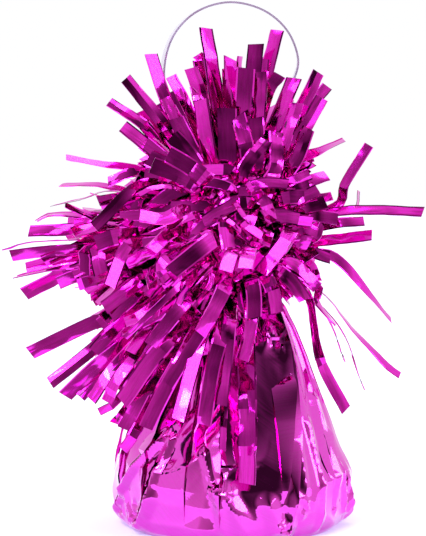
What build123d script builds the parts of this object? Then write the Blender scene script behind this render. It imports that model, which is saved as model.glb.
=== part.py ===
"""Foil-wrapped balloon weight: a filled cup in a gathered foil wrap, six turns of foil fringe
round the neck, and a clear strap loop that the balloon ribbons are tied to.

Millimetres, +Z up. The origin is on the floor, under the middle of the cup. The loop lies in the XZ plane.
"""

import os
from dataclasses import dataclass
from math import asin, atan, cos, degrees, hypot, pi, radians, sin, tan

from build123d import *

# Ballast cup: a moulded cup with drafted walls, its cast fill and a plug lid
CUP_RIM_RADIUS = 29.4
CUP_HEIGHT = 18.2
CUP_WALL = 1.2
CUP_FLOOR = 1.4
CUP_DRAFT = 2.0
CUP_FOOT_CHAMFER = 2.4
FILL_SETTLE = 0.1
LID_THICKNESS = 1.2
LID_PLUG_DEPTH = 2.2
LID_PLUG_WALL = 1.4
LID_FIT = 0.15

# Foil wrap: one sheet gathered over the cup into pleats and up into a stem
WRAP_FILM = 0.4
WRAP_PLEATS = 15
WRAP_PLEAT_SWAY_SHARE = 0.32
WRAP_BASE_TUCK = 2.6
WRAP_TUCK_HEIGHT = 4.0
WRAP_BELLY_SLACK = 3.6
WRAP_SHOULDER_SLACK = 2.3
WRAP_CONE_RISE = 49.0
# Each ring of the cone: shares of the rise and of the fall in radius, and the pleats' depth as a share
# of the ring's own radius. Rings with one depth share have flat pleat sides between them.
WRAP_CONE_SHARES = (
    (0.14, 0.16, 0.06),
    (0.38, 0.35, 0.18),
    (0.58, 0.48, 0.20),
    (0.80, 0.67, 0.20),
    (0.95, 0.92, 0.20),
)
BELLY_HEIGHT_SHARE = 0.55
SHOULDER_PLEAT_SHARE = 0.022
STEM_PLEAT_SHARE = 0.10

# Neck: the stem of gathered film, the band round it and the turns of fringe wound on it
STEM_RADIUS = 6.0
STEM_TOP_MARGIN = 0.6
NECK_GAP = 0.2
BAND_HEIGHT = 2.6
BAND_THICKNESS = 1.2
BAND_BEVEL = 0.4
HEADER_HEIGHT = 3.3
HEADER_THICKNESS = 3.1

# Fringe strips: film cut into strips, each bent and rolled once on its way out
STRIP_WIDTH = 4.0
STRIP_THICKNESS = 0.3
STRIP_BITE = 0.8
STRIP_LAP = 0.5
STRIP_ROLL = 45.0
STRIP_BEND_SHARE = 0.45
SKIRT_STRIP_LENGTH = 39.0
COLLAR_STRIP_LENGTH = 34.5
CROWN_STRIP_LENGTH = 37.0
STRAY_LENGTH = 46.0
LENGTH_WOBBLE_SHARE = 0.13
ELEVATION_WOBBLE = 2.2
SIDE_LEAN_SHARE = 0.45
FRONT_SHORT_SHARE = 0.25
CROWN_SHORT_SHARE = 0.40
ROW_HEIGHT_SHARES = (0.20, 0.50, 0.80)
BARE_FROM = 285.0
BARE_TO = 345.0
STEM_STRIP_COUNT = 3
STEM_STRIP_LENGTH = 36.0
STEM_STRIP_ELEVATION = 82.0
STEM_STRIP_DROOP = 6.0

# Hanger: a strap loop that sways on the folded end of its own tail
STRAP_WIDTH = 3.0
STRAP_THICKNESS = 0.45
LOOP_RADIUS = 18.5
LOOP_RISE = 32.0
ROOT_FOLD_RADIUS = 0.8
ROOT_CLEARANCE = 0.08
TAIL_CLEARANCE = 0.3
SLOT_CLEARANCE = 0.75

# One overrun for every cut that has to pass right through
OVERRUN = 1.0
GOLDEN_TURN = pi * (3.0 - 5.0**0.5)

# Heights and radii that follow from the sizes above
CUP_FOOT_RADIUS = CUP_RIM_RADIUS - CUP_HEIGHT * tan(radians(CUP_DRAFT))
CUP_BOTTOM = WRAP_FILM
RIM_HEIGHT = CUP_BOTTOM + CUP_HEIGHT
LID_TOP = RIM_HEIGHT + LID_THICKNESS
SHOULDER_HEIGHT = LID_TOP + WRAP_FILM
BELLY_RADIUS = CUP_RIM_RADIUS + WRAP_BELLY_SLACK
SHOULDER_RADIUS = CUP_RIM_RADIUS + WRAP_SHOULDER_SLACK
NECK_HEIGHT = SHOULDER_HEIGHT + WRAP_CONE_RISE
BAND_BOTTOM = NECK_HEIGHT + NECK_GAP
FRINGE_BOTTOM = BAND_BOTTOM + BAND_HEIGHT + NECK_GAP
HEADER_INNER_RADIUS = STEM_RADIUS + NECK_GAP
HEADER_RADIUS = HEADER_INNER_RADIUS + HEADER_THICKNESS
TAIL_THICKNESS = 2.0 * STRAP_THICKNESS
STEM_BORE_RADIUS = hypot(STRAP_WIDTH, TAIL_THICKNESS) / 2.0 + TAIL_CLEARANCE
SLOT_HALF_WIDTH = STRAP_WIDTH / 2.0 + SLOT_CLEARANCE


@dataclass(frozen=True)
class Stray:
    """A long strip out of the rows: azimuth, elevation and droop in degrees, and its share of the length."""

    azimuth: float
    elevation: float
    droop: float
    length_share: float


@dataclass(frozen=True)
class Turn:
    """One turn of fringe: elevations of its rows and their droop in degrees, strip length, strips a row."""

    elevations: tuple
    droop: float
    length: float
    count: int
    strays: tuple = ()
    slotted: bool = False
    bare: bool = False


# Long strips on the side where the burst is short, in front of the bare stretch of the wrap
SKIRT_STRAYS = (Stray(-32.0, -30.0, 34.0, 1.08), Stray(-46.0, -38.0, 2.0, 1.0))
LOW_COLLAR_STRAYS = (Stray(-18.0, -9.0, 36.0, 0.96), Stray(6.0, 2.0, 5.0, 0.65))
HIGH_COLLAR_STRAYS = (Stray(-4.0, 9.0, 6.0, 0.96), Stray(-15.0, 14.0, -36.0, 0.87))

# The turns from the lowest to the highest. A slotted turn counts its strips in front of the loop,
# and as many lie behind it. A bare turn leaves a stretch of the wrap uncovered.
FRINGE_TURNS = {
    "skirt_fringe_lower": Turn((-57.0, -50.5, -44.0), 8.0, SKIRT_STRIP_LENGTH, 13, bare=True),
    "skirt_fringe_upper": Turn((-37.5, -31.0, -24.5), 9.0, SKIRT_STRIP_LENGTH, 13, SKIRT_STRAYS, bare=True),
    "collar_fringe_lower": Turn((-18.0, -11.5, -5.0), 10.0, COLLAR_STRIP_LENGTH, 13, LOW_COLLAR_STRAYS),
    "collar_fringe_upper": Turn((1.5, 8.0, 14.5), 11.0, COLLAR_STRIP_LENGTH, 13, HIGH_COLLAR_STRAYS),
    "crown_fringe_outer": Turn((32.0, 39.0, 46.0), 8.0, CROWN_STRIP_LENGTH, 6, slotted=True),
    "crown_fringe_inner": Turn((53.0, 61.0, 69.0), 7.0, CROWN_STRIP_LENGTH, 6, slotted=True),
}
STEM_TOP = FRINGE_BOTTOM + len(FRINGE_TURNS) * (HEADER_HEIGHT + NECK_GAP) + STEM_TOP_MARGIN
ROOT_HEIGHT = STEM_TOP + ROOT_FOLD_RADIUS + STRAP_THICKNESS


def wobble(index, phase):
    """A repeatable uneven number from -1 to 1 for the strip or pleat with that index."""
    return sin(GOLDEN_TURN * (index + 1) * (phase + 1) + phase)


def ring_of(inner_radius, outer_radius, bottom, height):
    """A plain ring round the Z axis."""
    outer = Cylinder(outer_radius, height, align=(Align.CENTER, Align.CENTER, Align.MIN))
    bore = Cylinder(inner_radius, height + 2.0 * OVERRUN)
    ring = outer - Pos(0, 0, height / 2.0) * bore
    return Pos(0, 0, bottom) * ring


def ballast_cup():
    """Moulded cup with drafted walls and a bevelled foot, open at the top."""
    outer = Polyline(
        (0, CUP_BOTTOM),
        (CUP_FOOT_RADIUS, CUP_BOTTOM),
        (CUP_RIM_RADIUS, RIM_HEIGHT),
        (0, RIM_HEIGHT),
        close=True,
    )
    section = Plane.XZ * make_face(outer)
    body = revolve(section, Axis.Z)
    foot = body.edges().group_by(Axis.Z)[0]
    body = chamfer(foot, CUP_FOOT_CHAMFER)
    return body - cavity(0.0, OVERRUN)


def cavity(shrink, rise):
    """The inside of the cup, drawn in by shrink, and carried up past the rim by rise."""
    floor = CUP_BOTTOM + CUP_FLOOR
    slope = tan(radians(CUP_DRAFT))
    top = RIM_HEIGHT + rise
    floor_radius = CUP_FOOT_RADIUS + CUP_FLOOR * slope - CUP_WALL - shrink
    outline = Polyline(
        (0, floor),
        (floor_radius, floor),
        (floor_radius + (top - floor) * slope, top),
        (0, top),
        close=True,
    )
    return revolve(Plane.XZ * make_face(outline), Axis.Z)


def ballast_fill():
    """Cast fill: the cup's cavity up to the lid's plug, a little shrunk from the walls."""
    return cavity(FILL_SETTLE, -LID_PLUG_DEPTH)


def ballast_lid():
    """Plug lid: a disc on the rim with a ring that presses into the cup's mouth."""
    slope = tan(radians(CUP_DRAFT))
    plug_radius = CUP_RIM_RADIUS - CUP_WALL - LID_PLUG_DEPTH * slope - LID_FIT
    disc = Cylinder(CUP_RIM_RADIUS, LID_THICKNESS, align=(Align.CENTER, Align.CENTER, Align.MIN))
    plug = ring_of(plug_radius - LID_PLUG_WALL, plug_radius, RIM_HEIGHT - LID_PLUG_DEPTH, LID_PLUG_DEPTH)
    return Pos(0, 0, RIM_HEIGHT) * disc + plug


def pleated_ring(height, ridge_radius, depth_share):
    """A closed outline of ridges and valleys, with pleats of uneven width."""
    pitch = 2.0 * pi / WRAP_PLEATS
    valley_radius = ridge_radius * (1.0 - depth_share)
    points = []
    for pleat in range(WRAP_PLEATS):
        ridge = pitch * (pleat + WRAP_PLEAT_SWAY_SHARE * wobble(pleat, 1))
        following = pitch * (pleat + 1 + WRAP_PLEAT_SWAY_SHARE * wobble((pleat + 1) % WRAP_PLEATS, 1))
        valley = (ridge + following) / 2.0
        points.append((ridge_radius * cos(ridge), ridge_radius * sin(ridge), height))
        points.append((valley_radius * cos(valley), valley_radius * sin(valley), height))
    return make_face(Polyline(*points, close=True))


def wrap_rings(inset):
    """The bag's rings from floor to neck, drawn in by inset: height, ridge radius, share of pleat depth."""
    belly_height = CUP_BOTTOM + CUP_HEIGHT * BELLY_HEIGHT_SHARE
    rings = [
        (inset, BELLY_RADIUS - WRAP_BASE_TUCK, 0.0),
        (WRAP_TUCK_HEIGHT, BELLY_RADIUS, 0.0),
        (belly_height, BELLY_RADIUS, 0.0),
        (SHOULDER_HEIGHT, SHOULDER_RADIUS, SHOULDER_PLEAT_SHARE),
    ]
    for rise_share, fall_share, pleat_share in WRAP_CONE_SHARES:
        height = SHOULDER_HEIGHT + WRAP_CONE_RISE * rise_share
        radius = SHOULDER_RADIUS - (SHOULDER_RADIUS - STEM_RADIUS) * fall_share
        rings.append((height, radius, pleat_share))
    return [(height, radius - inset, share) for height, radius, share in rings]


def plank(start, finish, roll):
    """A straight stretch of strip in the XZ plane from start to finish, rolled about its own way."""
    way = finish - start
    across = Plane(origin=start, x_dir=(0, 1, 0), z_dir=way)
    return extrude(across * Rot(0, 0, roll) * Rectangle(STRIP_WIDTH, STRIP_THICKNESS), way.length)


def strip(root_radius, root_height, elevation, droop, length, azimuth, roll=0.0):
    """One film strip: flat from its root to its bend, then down by its droop and rolled to one side."""
    ahead = Vector(cos(radians(elevation)), 0, sin(radians(elevation)))
    after = Vector(cos(radians(elevation - droop)), 0, sin(radians(elevation - droop)))
    root = Vector(root_radius, 0, root_height)
    bend = root + ahead * (length * STRIP_BEND_SHARE)
    tip = bend + after * (length * (1.0 - STRIP_BEND_SHARE))
    inner = plank(root - ahead * STRIP_BITE, bend, 0.0)
    outer = plank(bend - after * STRIP_LAP, tip, roll)
    return Rot(0, 0, azimuth) * (inner + outer)


def slotted_azimuths(root_radius, a_side, between=False):
    """Azimuths of strips in front of and behind the loop, clear of the slot that it sways in.

    With between set, the strips lie over the gaps of such a row, so there is one fewer a side.
    """
    half = STRIP_WIDTH / 2.0
    first = degrees(atan(half / root_radius) + asin(SLOT_HALF_WIDTH / hypot(root_radius, half)))
    step = (180.0 - 2.0 * first) / (a_side - 1)
    if between:
        behind = [first + step * (index + 1 / 2) for index in range(a_side - 1)]
    else:
        behind = [first + step * index for index in range(a_side)]
    return behind + [angle + 180.0 for angle in behind]


def turn_azimuths(turn, phase):
    """Azimuths of one row of a turn, in degrees from 0 to 360."""
    if turn.slotted:
        return slotted_azimuths(HEADER_RADIUS, turn.count, between=phase % 2 == 1)
    step = 360.0 / turn.count
    azimuths = [(step * (index + phase / 3.0)) % 360.0 for index in range(turn.count)]
    if turn.bare:
        return [azimuth for azimuth in azimuths if not BARE_FROM < azimuth < BARE_TO]
    return azimuths


def row_length(turn, azimuth):
    """Length of a row's strips at an azimuth: long towards -X and short towards +X, and shorter in front.

    The slotted turns stand up round the loop and are as long on both sides.
    """
    across, ahead = cos(radians(azimuth)), max(0.0, -sin(radians(azimuth)))
    if turn.slotted:
        return turn.length * (1.0 - CROWN_SHORT_SHARE * ahead)
    return turn.length * (1.0 - SIDE_LEAN_SHARE * across) * (1.0 - FRONT_SHORT_SHARE * ahead)


def row_roll(azimuth, index, phase):
    """Roll of a strip's outer stretch: it turns its face to -Y, most on the two sides, and unevenly."""
    across = cos(radians(azimuth))
    return STRIP_ROLL * across * (1.0 + wobble(index, phase)) / 2.0


def fringe_turn(order, turn):
    """One turn of fringe: its wound header, its rows of uneven strips and its strays."""
    bottom = FRINGE_BOTTOM + order * (HEADER_HEIGHT + NECK_GAP)
    header = ring_of(HEADER_INNER_RADIUS, HEADER_RADIUS, bottom, HEADER_HEIGHT)
    strips = []
    for place, row_elevation in enumerate(turn.elevations):
        root_height = bottom + HEADER_HEIGHT * ROW_HEIGHT_SHARES[place]
        phase = len(turn.elevations) * order + place
        for index, azimuth in enumerate(turn_azimuths(turn, phase)):
            length = row_length(turn, azimuth) * (1.0 + LENGTH_WOBBLE_SHARE * wobble(index, phase))
            elevation = row_elevation + ELEVATION_WOBBLE * wobble(index, phase + 2)
            roll = row_roll(azimuth, index, phase + 4)
            strips.append(strip(HEADER_RADIUS, root_height, elevation, turn.droop, length, azimuth, roll))
    middle = bottom + HEADER_HEIGHT / 2.0
    for stray in turn.strays:
        length = STRAY_LENGTH * stray.length_share
        bend = (stray.elevation, stray.droop)
        strips.append(strip(HEADER_RADIUS, middle, *bend, length, stray.azimuth, STRIP_ROLL))
    return header.fuse(*strips)


def foil_wrap():
    """The gathered sheet: pleated bag, solid stem of gathered film and its own cut edge as strips."""
    stem_rings = [(height, STEM_RADIUS, STEM_PLEAT_SHARE) for height in (NECK_HEIGHT, STEM_TOP)]
    outer_rings = wrap_rings(0.0) + stem_rings
    inner_rings = wrap_rings(WRAP_FILM)
    hollow_top = inner_rings[-1][0]
    outer = loft([pleated_ring(*ring) for ring in outer_rings], ruled=True)
    hollow = loft([pleated_ring(*ring) for ring in inner_rings], ruled=True)
    bore_length = STEM_TOP - hollow_top + 2.0 * OVERRUN
    bore = Cylinder(STEM_BORE_RADIUS, bore_length, align=(Align.CENTER, Align.CENTER, Align.MIN))
    bag = outer - hollow - Pos(0, 0, hollow_top - OVERRUN) * bore
    root_radius = STEM_RADIUS * (1.0 - STEM_PLEAT_SHARE) - STRIP_THICKNESS
    edge = []
    for index, azimuth in enumerate(slotted_azimuths(root_radius, STEM_STRIP_COUNT)):
        length = STEM_STRIP_LENGTH * (1.0 + LENGTH_WOBBLE_SHARE * wobble(index, 5))
        edge.append(strip(root_radius, STEM_TOP, STEM_STRIP_ELEVATION, STEM_STRIP_DROOP, length, azimuth))
    return bag.fuse(*edge)


def neck_band():
    """Band that holds the gathers, under the lowest turn of fringe."""
    inner_radius = STEM_RADIUS + NECK_GAP
    band = ring_of(inner_radius, inner_radius + BAND_THICKNESS, BAND_BOTTOM, BAND_HEIGHT)
    return chamfer(band.edges().filter_by(GeomType.CIRCLE), BAND_BEVEL)


def teardrop(grow):
    """Face of the loop's outline: a hull of the loop's round top and its folded root, moved out by grow."""
    top = CenterArc((0, ROOT_HEIGHT + LOOP_RISE), LOOP_RADIUS + grow, 0, 360)
    root = CenterArc((0, ROOT_HEIGHT), ROOT_FOLD_RADIUS + grow, 0, 360)
    return Plane.XZ * make_hull([top, root])


def hanger_loop():
    """Strap loop: a teardrop band, folded round at its root."""
    half = STRAP_THICKNESS / 2.0
    return extrude(teardrop(half) - teardrop(-half), STRAP_WIDTH / 2.0, both=True)


def strap_tail():
    """The strap's two ends, laid together down the stem, with a cradle under the loop's root."""
    cradle = ROOT_FOLD_RADIUS + STRAP_THICKNESS / 2.0 + ROOT_CLEARANCE
    height = ROOT_HEIGHT - NECK_HEIGHT
    tail = Box(
        TAIL_THICKNESS,
        STRAP_WIDTH,
        height,
        align=(Align.CENTER, Align.CENTER, Align.MIN),
    )
    root = Rot(90, 0, 0) * Cylinder(cradle, STRAP_WIDTH + 2.0 * OVERRUN)
    return Pos(0, 0, NECK_HEIGHT) * tail - Pos(0, 0, ROOT_HEIGHT) * root


def main():
    """Builds every piece and writes one STEP file for each."""
    pieces = {
        "ballast_cup": ballast_cup(),
        "ballast_fill": ballast_fill(),
        "ballast_lid": ballast_lid(),
        "foil_wrap": foil_wrap(),
        "neck_band": neck_band(),
        "strap_tail": strap_tail(),
        "hanger_loop": hanger_loop(),
    }
    for order, (name, turn) in enumerate(FRINGE_TURNS.items()):
        pieces[name] = fringe_turn(order, turn)
    os.makedirs("parts", exist_ok=True)
    for name, piece in pieces.items():
        export_step(piece, f"parts/{name}.step")
        print(name, round(piece.volume, 1))
    print("loop root height", round(ROOT_HEIGHT, 2), "stem top", round(STEM_TOP, 2))


if __name__ == "__main__":
    main()
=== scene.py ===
"""Foil balloon weight for the photograph's view: gathered foil bag, cut-foil fringe, clear strap loop."""

import logging
import math
import random
from dataclasses import dataclass, field
from enum import Enum

import bmesh
import bpy
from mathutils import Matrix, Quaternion, Vector, noise


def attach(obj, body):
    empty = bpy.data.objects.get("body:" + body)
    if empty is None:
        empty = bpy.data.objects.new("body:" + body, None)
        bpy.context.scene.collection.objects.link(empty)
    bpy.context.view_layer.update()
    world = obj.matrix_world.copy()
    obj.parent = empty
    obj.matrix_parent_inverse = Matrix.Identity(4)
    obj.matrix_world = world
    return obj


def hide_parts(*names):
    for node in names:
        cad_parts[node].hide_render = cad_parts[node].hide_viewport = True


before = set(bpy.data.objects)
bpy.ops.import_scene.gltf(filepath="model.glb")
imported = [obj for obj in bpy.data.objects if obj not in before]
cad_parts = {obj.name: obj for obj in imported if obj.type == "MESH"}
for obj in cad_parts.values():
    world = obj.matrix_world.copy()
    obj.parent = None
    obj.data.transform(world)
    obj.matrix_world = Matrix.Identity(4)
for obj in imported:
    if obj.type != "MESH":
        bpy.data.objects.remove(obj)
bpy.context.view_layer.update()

Tree, Socket = bpy.types.NodeTree, bpy.types.NodeSocket
Material, Thing = bpy.types.Material, bpy.types.Object
Pair, Triple = tuple[float, float], tuple[float, float, float]

MM = 0.001
UP = Vector((0.0, 0.0, 1.0))
GOLDEN_TURN = math.pi * (3.0 - math.sqrt(5.0))
WHITE = (1.0, 1.0, 1.0, 1.0)
# Share of a strip's half width at which its cut edge starts to curl
CUT_EDGE = 0.82
# Strips start at their own place in the noise, anywhere up to this far
NOISE_RANGE = 500.0
LOG = logging.getLogger("balloon_weight")


class Body(Enum):
    """The CAD bodies that pieces ride on."""

    WEIGHT = "weight"
    LOOP = "loop"


class Slot(Enum):
    """Material slots of the record."""

    FOIL = "foil"
    STRAP = "clear_strap"
    CUP = "cup_plastic"
    FILL = "cast_fill"
    BAND = "band_rubber"


def linear(hex_colour: str) -> tuple[float, float, float, float]:
    """Turns an sRGB hex colour to linear RGBA.

    Args:
        hex_colour: six hex digits.

    Returns:
        The linear colour with alpha 1.
    """
    parts = [int(hex_colour[i : i + 2], 16) / 255.0 for i in (0, 2, 4)]
    values = [c / 12.92 if c <= 0.04045 else ((c + 0.055) / 1.055) ** 2.4 for c in parts]
    return (values[0], values[1], values[2], 1.0)


def add_node(tree: Tree, kind: str, links: dict | None = None, **settings) -> bpy.types.Node:
    """Adds a node with its settings and links.

    Args:
        tree: the node tree.
        kind: the node's type name.
        links: input name or index to a value or an output socket.
        settings: the node's own properties.

    Returns:
        The new node.
    """
    node = tree.nodes.new(kind)
    for name, value in settings.items():
        setattr(node, name, value)
    for name, value in (links or {}).items():
        if isinstance(value, Socket):
            tree.links.new(value, node.inputs[name])
        else:
            node.inputs[name].default_value = value
    return node


def blank_material(name: str) -> tuple[Material, Tree]:
    """Makes a material with an empty node tree.

    Args:
        name: the material's name.

    Returns:
        The material and its tree.
    """
    material = bpy.data.materials.new(name)
    material.use_nodes = True
    material.node_tree.nodes.clear()
    return material, material.node_tree


def close_tree(tree: Tree, kind: str, look: dict) -> None:
    """Gives a material its one shader, of a kind and with a look, and links that to the output."""
    shader = add_node(tree, kind, look)
    add_node(tree, "ShaderNodeOutputMaterial", {"Surface": shader.outputs[0]})


def object_noise(tree: Tree, size_mm: float, detail: float) -> Socket:
    """Noise in the object's own space.

    Args:
        tree: the node tree.
        size_mm: the noise's size.
        detail: how many finer layers it has.

    Returns:
        The noise, from about 0 to 1.
    """
    place = add_node(tree, "ShaderNodeTexCoord").outputs["Object"]
    links = {"Vector": place, "Scale": 1.0 / (size_mm * MM), "Detail": detail}
    return add_node(tree, "ShaderNodeTexNoise", links).outputs["Fac"]


def two_tones(tree: Tree, share: Socket, first: tuple[float, ...], second: tuple[float, ...]) -> Socket:
    """Goes from one linear colour to another by a share from 0 to 1."""
    links = {"Factor": share, 6: first, 7: second}
    return add_node(tree, "ShaderNodeMix", links, data_type="RGBA").outputs[2]


def bumps(tree: Tree, height: Socket, strength: float) -> Socket:
    """Turns a height from 0 to 1 into fine relief of up to a millimetre, and returns the normal."""
    links = {"Height": height, "Strength": strength, "Distance": MM}
    return add_node(tree, "ShaderNodeBump", links).outputs[0]


def put(
    name: str, data: bpy.types.ID, place: Vector | Triple = (0.0, 0.0, 0.0), aim: Vector | None = None
) -> Thing:
    """Links a new object to the scene.

    Args:
        name: the object's name.
        data: its mesh, lamp or camera.
        place: where it goes, in metres.
        aim: the direction that it faces with its -Z side.

    Returns:
        The object.
    """
    thing = bpy.data.objects.new(name, data)
    thing.location = place
    if aim is not None:
        thing.rotation_euler = aim.to_track_quat("-Z", "Y").to_euler()
    bpy.context.collection.objects.link(thing)
    return thing


def smooth(low: float, high: float, value: float) -> float:
    """Rises smoothly from 0 at low to 1 at high."""
    share = min(1.0, max(0.0, (value - low) / (high - low)))
    return share * share * (3.0 - 2.0 * share)


def along(table: tuple[Pair, ...], value: float) -> float:
    """Reads a table of (place, value) pairs, straight between its rows.

    Args:
        table: the rows in rising order of place.
        value: the place to read.

    Returns:
        The value there.
    """
    if value <= table[0][0]:
        return table[0][1]
    for (a, low), (b, high) in zip(table, table[1:]):
        if value <= b:
            return low + (high - low) * (value - a) / (b - a)
    return table[-1][1]


def wobble(index: int, phase: int) -> float:
    """A repeatable uneven number from -1 to 1, as the solids' rows have it."""
    return math.sin(GOLDEN_TURN * (index + 1) * (phase + 1) + phase)


def smooth_line(knots: list[Vector], parts: int) -> list[Vector]:
    """A smooth line through points.

    Args:
        knots: the points to pass through.
        parts: steps between two points.

    Returns:
        The line's points.
    """
    ends = [knots[0] * 2.0 - knots[1]] + knots + [knots[-1] * 2.0 - knots[-2]]
    line = []
    for a, b, c, d in zip(ends, ends[1:], ends[2:], ends[3:]):
        for k in range(parts):
            t = k / parts
            bend = (a * 2.0 - b * 5.0 + c * 4.0 - d) * t**2 + (b * 3.0 - a - c * 3.0 + d) * t**3
            line.append((b * 2.0 + (c - a) * t + bend) * 0.5)
    return line + [knots[-1].copy()]


def even_line(line: list[Vector], count: int) -> list[Vector]:
    """Spaces points evenly along a line.

    Args:
        line: the line's points.
        count: how many points to return.

    Returns:
        Points at equal steps, ends included.
    """
    runs = [0.0]
    for a, b in zip(line, line[1:]):
        runs.append(runs[-1] + (b - a).length)
    even, k = [], 0
    for step in range(count):
        goal = runs[-1] * step / (count - 1)
        while k < len(line) - 2 and runs[k + 1] < goal:
            k += 1
        share = (goal - runs[k]) / max(runs[k + 1] - runs[k], 1e-9)
        even.append(line[k].lerp(line[k + 1], min(share, 1.0)))
    return even


def headings(turn: float, rise: float) -> tuple[Vector, Vector]:
    """The level direction at an azimuth, and the direction that rises from it, both angles in radians."""
    out = Vector((math.cos(turn), math.sin(turn), 0.0))
    return out, out * math.cos(rise) + UP * math.sin(rise)


@dataclass(frozen=True)
class MetallisedFilm:
    """Polyester film with a vacuum-deposited aluminium layer under a magenta lacquer.

    The metal layer gives sharp coloured reflections, and the clear film over it adds white ones at
    grazing angles. Handling leaves fine creases along the film. The colour goes darker in streaks along
    the film, which is painted shade for the dark streaks that creased film mirrors.
    """

    name: str = "cut_magenta_metallised_polyester"
    colour: str = "FA14DA"
    # The darker tone of the streaks along the film: painted shade
    streak_shade_colour: str = "C60A9A"
    roughness: float = 0.10
    rough_patch: float = 0.22
    coat: float = 0.6
    coat_ior: float = 1.5
    coat_roughness: float = 0.04
    crease_mm: Pair = (2.0, 7.0)
    streak_mm: Pair = (0.7, 9.0)
    crease_height: float = 0.11
    # Levels of the creases between which the film goes from smooth to rough
    worn: Pair = (0.35, 0.75)

    def drawn_noise(self, tree: Tree, size_mm: Pair, links: dict, **settings) -> Socket:
        """Noise drawn out along the film.

        Args:
            tree: the node tree.
            size_mm: its size across the film and along it.
            links: what else the noise node is given.
            settings: the noise node's own properties.

        Returns:
            The noise.
        """
        place = add_node(tree, "ShaderNodeUVMap", uv_map="film").outputs["UV"]
        scale = (1.0 / size_mm[0], 1.0 / size_mm[1], 1.0)
        drawn = add_node(tree, "ShaderNodeMapping", {"Vector": place, "Scale": scale}).outputs[0]
        links = {"Vector": drawn, "Scale": 1.0, "Detail": 2.0, **links}
        return add_node(tree, "ShaderNodeTexNoise", links, **settings).outputs["Fac"]

    def build(self) -> Material:
        """Builds the film's nodes.

        Returns:
            The material.
        """
        material, tree = blank_material(self.name)
        # Painted shade: the colour darkens in streaks drawn out along the film
        streak = self.drawn_noise(tree, self.streak_mm, {})
        ridges = {"Roughness": 0.5, "Distortion": 0.4}
        crease = self.drawn_noise(tree, self.crease_mm, ridges, noise_type="RIDGED_MULTIFRACTAL")
        low, high = self.worn
        rough = {"Value": crease, 1: low, 2: high, 3: self.roughness, 4: self.rough_patch}
        look = {
            "Base Color": two_tones(tree, streak, linear(self.colour), linear(self.streak_shade_colour)),
            "Metallic": 1.0,
            "Roughness": add_node(tree, "ShaderNodeMapRange", rough).outputs[0],
            "Coat Weight": self.coat,
            "Coat IOR": self.coat_ior,
            "Coat Roughness": self.coat_roughness,
            "Normal": bumps(tree, crease, self.crease_height),
        }
        close_tree(tree, "ShaderNodeBsdfPrincipled", look)
        return material


@dataclass(frozen=True)
class ClearStrap:
    """Extruded clear PVC strap: glossy and clear, tinted lilac grey with darker clouds of painted shade."""

    name: str = "clear_extruded_pvc"
    # The lilac grey tint and its darker clouds are painted shade, for the dark look that a clear strap has at
    # its edges
    colour: str = "D8C3DA"
    shade_cloud_colour: str = "9F84A6"
    roughness: float = 0.12
    ior: float = 1.53
    clear: float = 0.55
    cloud_mm: float = 3.0

    def build(self) -> Material:
        """Builds the strap's nodes.

        Returns:
            The material.
        """
        material, tree = blank_material(self.name)
        # Painted shade: the tint goes darker in uneven clouds
        cloud = object_noise(tree, self.cloud_mm, 2.0)
        look = {
            "Base Color": two_tones(tree, cloud, linear(self.colour), linear(self.shade_cloud_colour)),
            "Roughness": self.roughness,
            "IOR": self.ior,
            "Transmission Weight": self.clear,
        }
        close_tree(tree, "ShaderNodeBsdfPrincipled", look)
        return material


@dataclass(frozen=True)
class GrainedSolid:
    """A hidden solid with a fine grain: moulded plastic, cast cement or rubber."""

    name: str
    colour: str
    second_colour: str
    roughness: float
    grain_mm: float
    relief: float

    def build(self) -> Material:
        """Builds the solid's nodes.

        Returns:
            The material.
        """
        material, tree = blank_material(self.name)
        grain = object_noise(tree, self.grain_mm, 4.0)
        look = {
            "Base Color": two_tones(tree, grain, linear(self.colour), linear(self.second_colour)),
            "Roughness": self.roughness,
            "Normal": bumps(tree, grain, self.relief),
        }
        close_tree(tree, "ShaderNodeBsdfPrincipled", look)
        return material


@dataclass(frozen=True)
class PhotoCamera:
    """The photograph's camera, and the way from its pixels to points of the object."""

    width_px: float = 426.0
    height_px: float = 536.0
    mm_a_pixel: float = 0.28
    axis_px: float = 232.0
    floor_px: float = 522.5
    elevation: float = 6.0
    distance: float = 0.65
    sensor_mm: float = 36.0
    nearest: float = 0.01

    def basis(self) -> tuple[Vector, Vector, Vector, Vector]:
        """The camera's place and its forward, right and up directions."""
        tilt = math.radians(self.elevation)
        forward = Vector((0.0, math.cos(tilt), -math.sin(tilt)))
        right = Vector((1.0, 0.0, 0.0))
        up = right.cross(forward)
        across = (self.width_px / 2.0 - self.axis_px) * self.mm_a_pixel * MM
        rise = (self.floor_px - self.height_px / 2.0) * self.mm_a_pixel * MM
        target = Vector((across, 0.0, rise / math.cos(tilt)))
        return target - forward * self.distance, forward, right, up

    def place(self, column: float, row: float, depth_mm: float) -> Vector:
        """The point seen at a pixel, at a given depth.

        Args:
            column: the pixel's column in the photograph.
            row: the pixel's row.
            depth_mm: the point's Y, in millimetres.

        Returns:
            The point in metres.
        """
        eye, forward, right, up = self.basis()
        step = self.mm_a_pixel * MM / self.distance
        ray = forward + right * ((column - self.width_px / 2.0) * step)
        ray += up * ((self.height_px / 2.0 - row) * step)
        return eye + ray * ((depth_mm * MM - eye.y) / ray.y)

    def pixel(self, point: Vector) -> Pair:
        """The pixel at which a point is seen.

        Args:
            point: the point in metres.

        Returns:
            Its column and row.
        """
        eye, forward, right, up = self.basis()
        way = point - eye
        scale = self.distance / (way.dot(forward) * self.mm_a_pixel * MM)
        column = self.width_px / 2.0 + way.dot(right) * scale
        row = self.height_px / 2.0 - way.dot(up) * scale
        return column, row

    def build(self) -> Thing:
        """Adds the camera to the scene.

        Returns:
            The camera object.
        """
        eye, forward, _, _ = self.basis()
        data = bpy.data.cameras.new("photo_camera")
        data.sensor_width = self.sensor_mm
        data.lens = self.sensor_mm * self.distance / (self.height_px * self.mm_a_pixel * MM)
        data.clip_start = self.nearest
        camera = put("photo_camera", data, eye, forward)
        bpy.context.scene.camera = camera
        return camera


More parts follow.
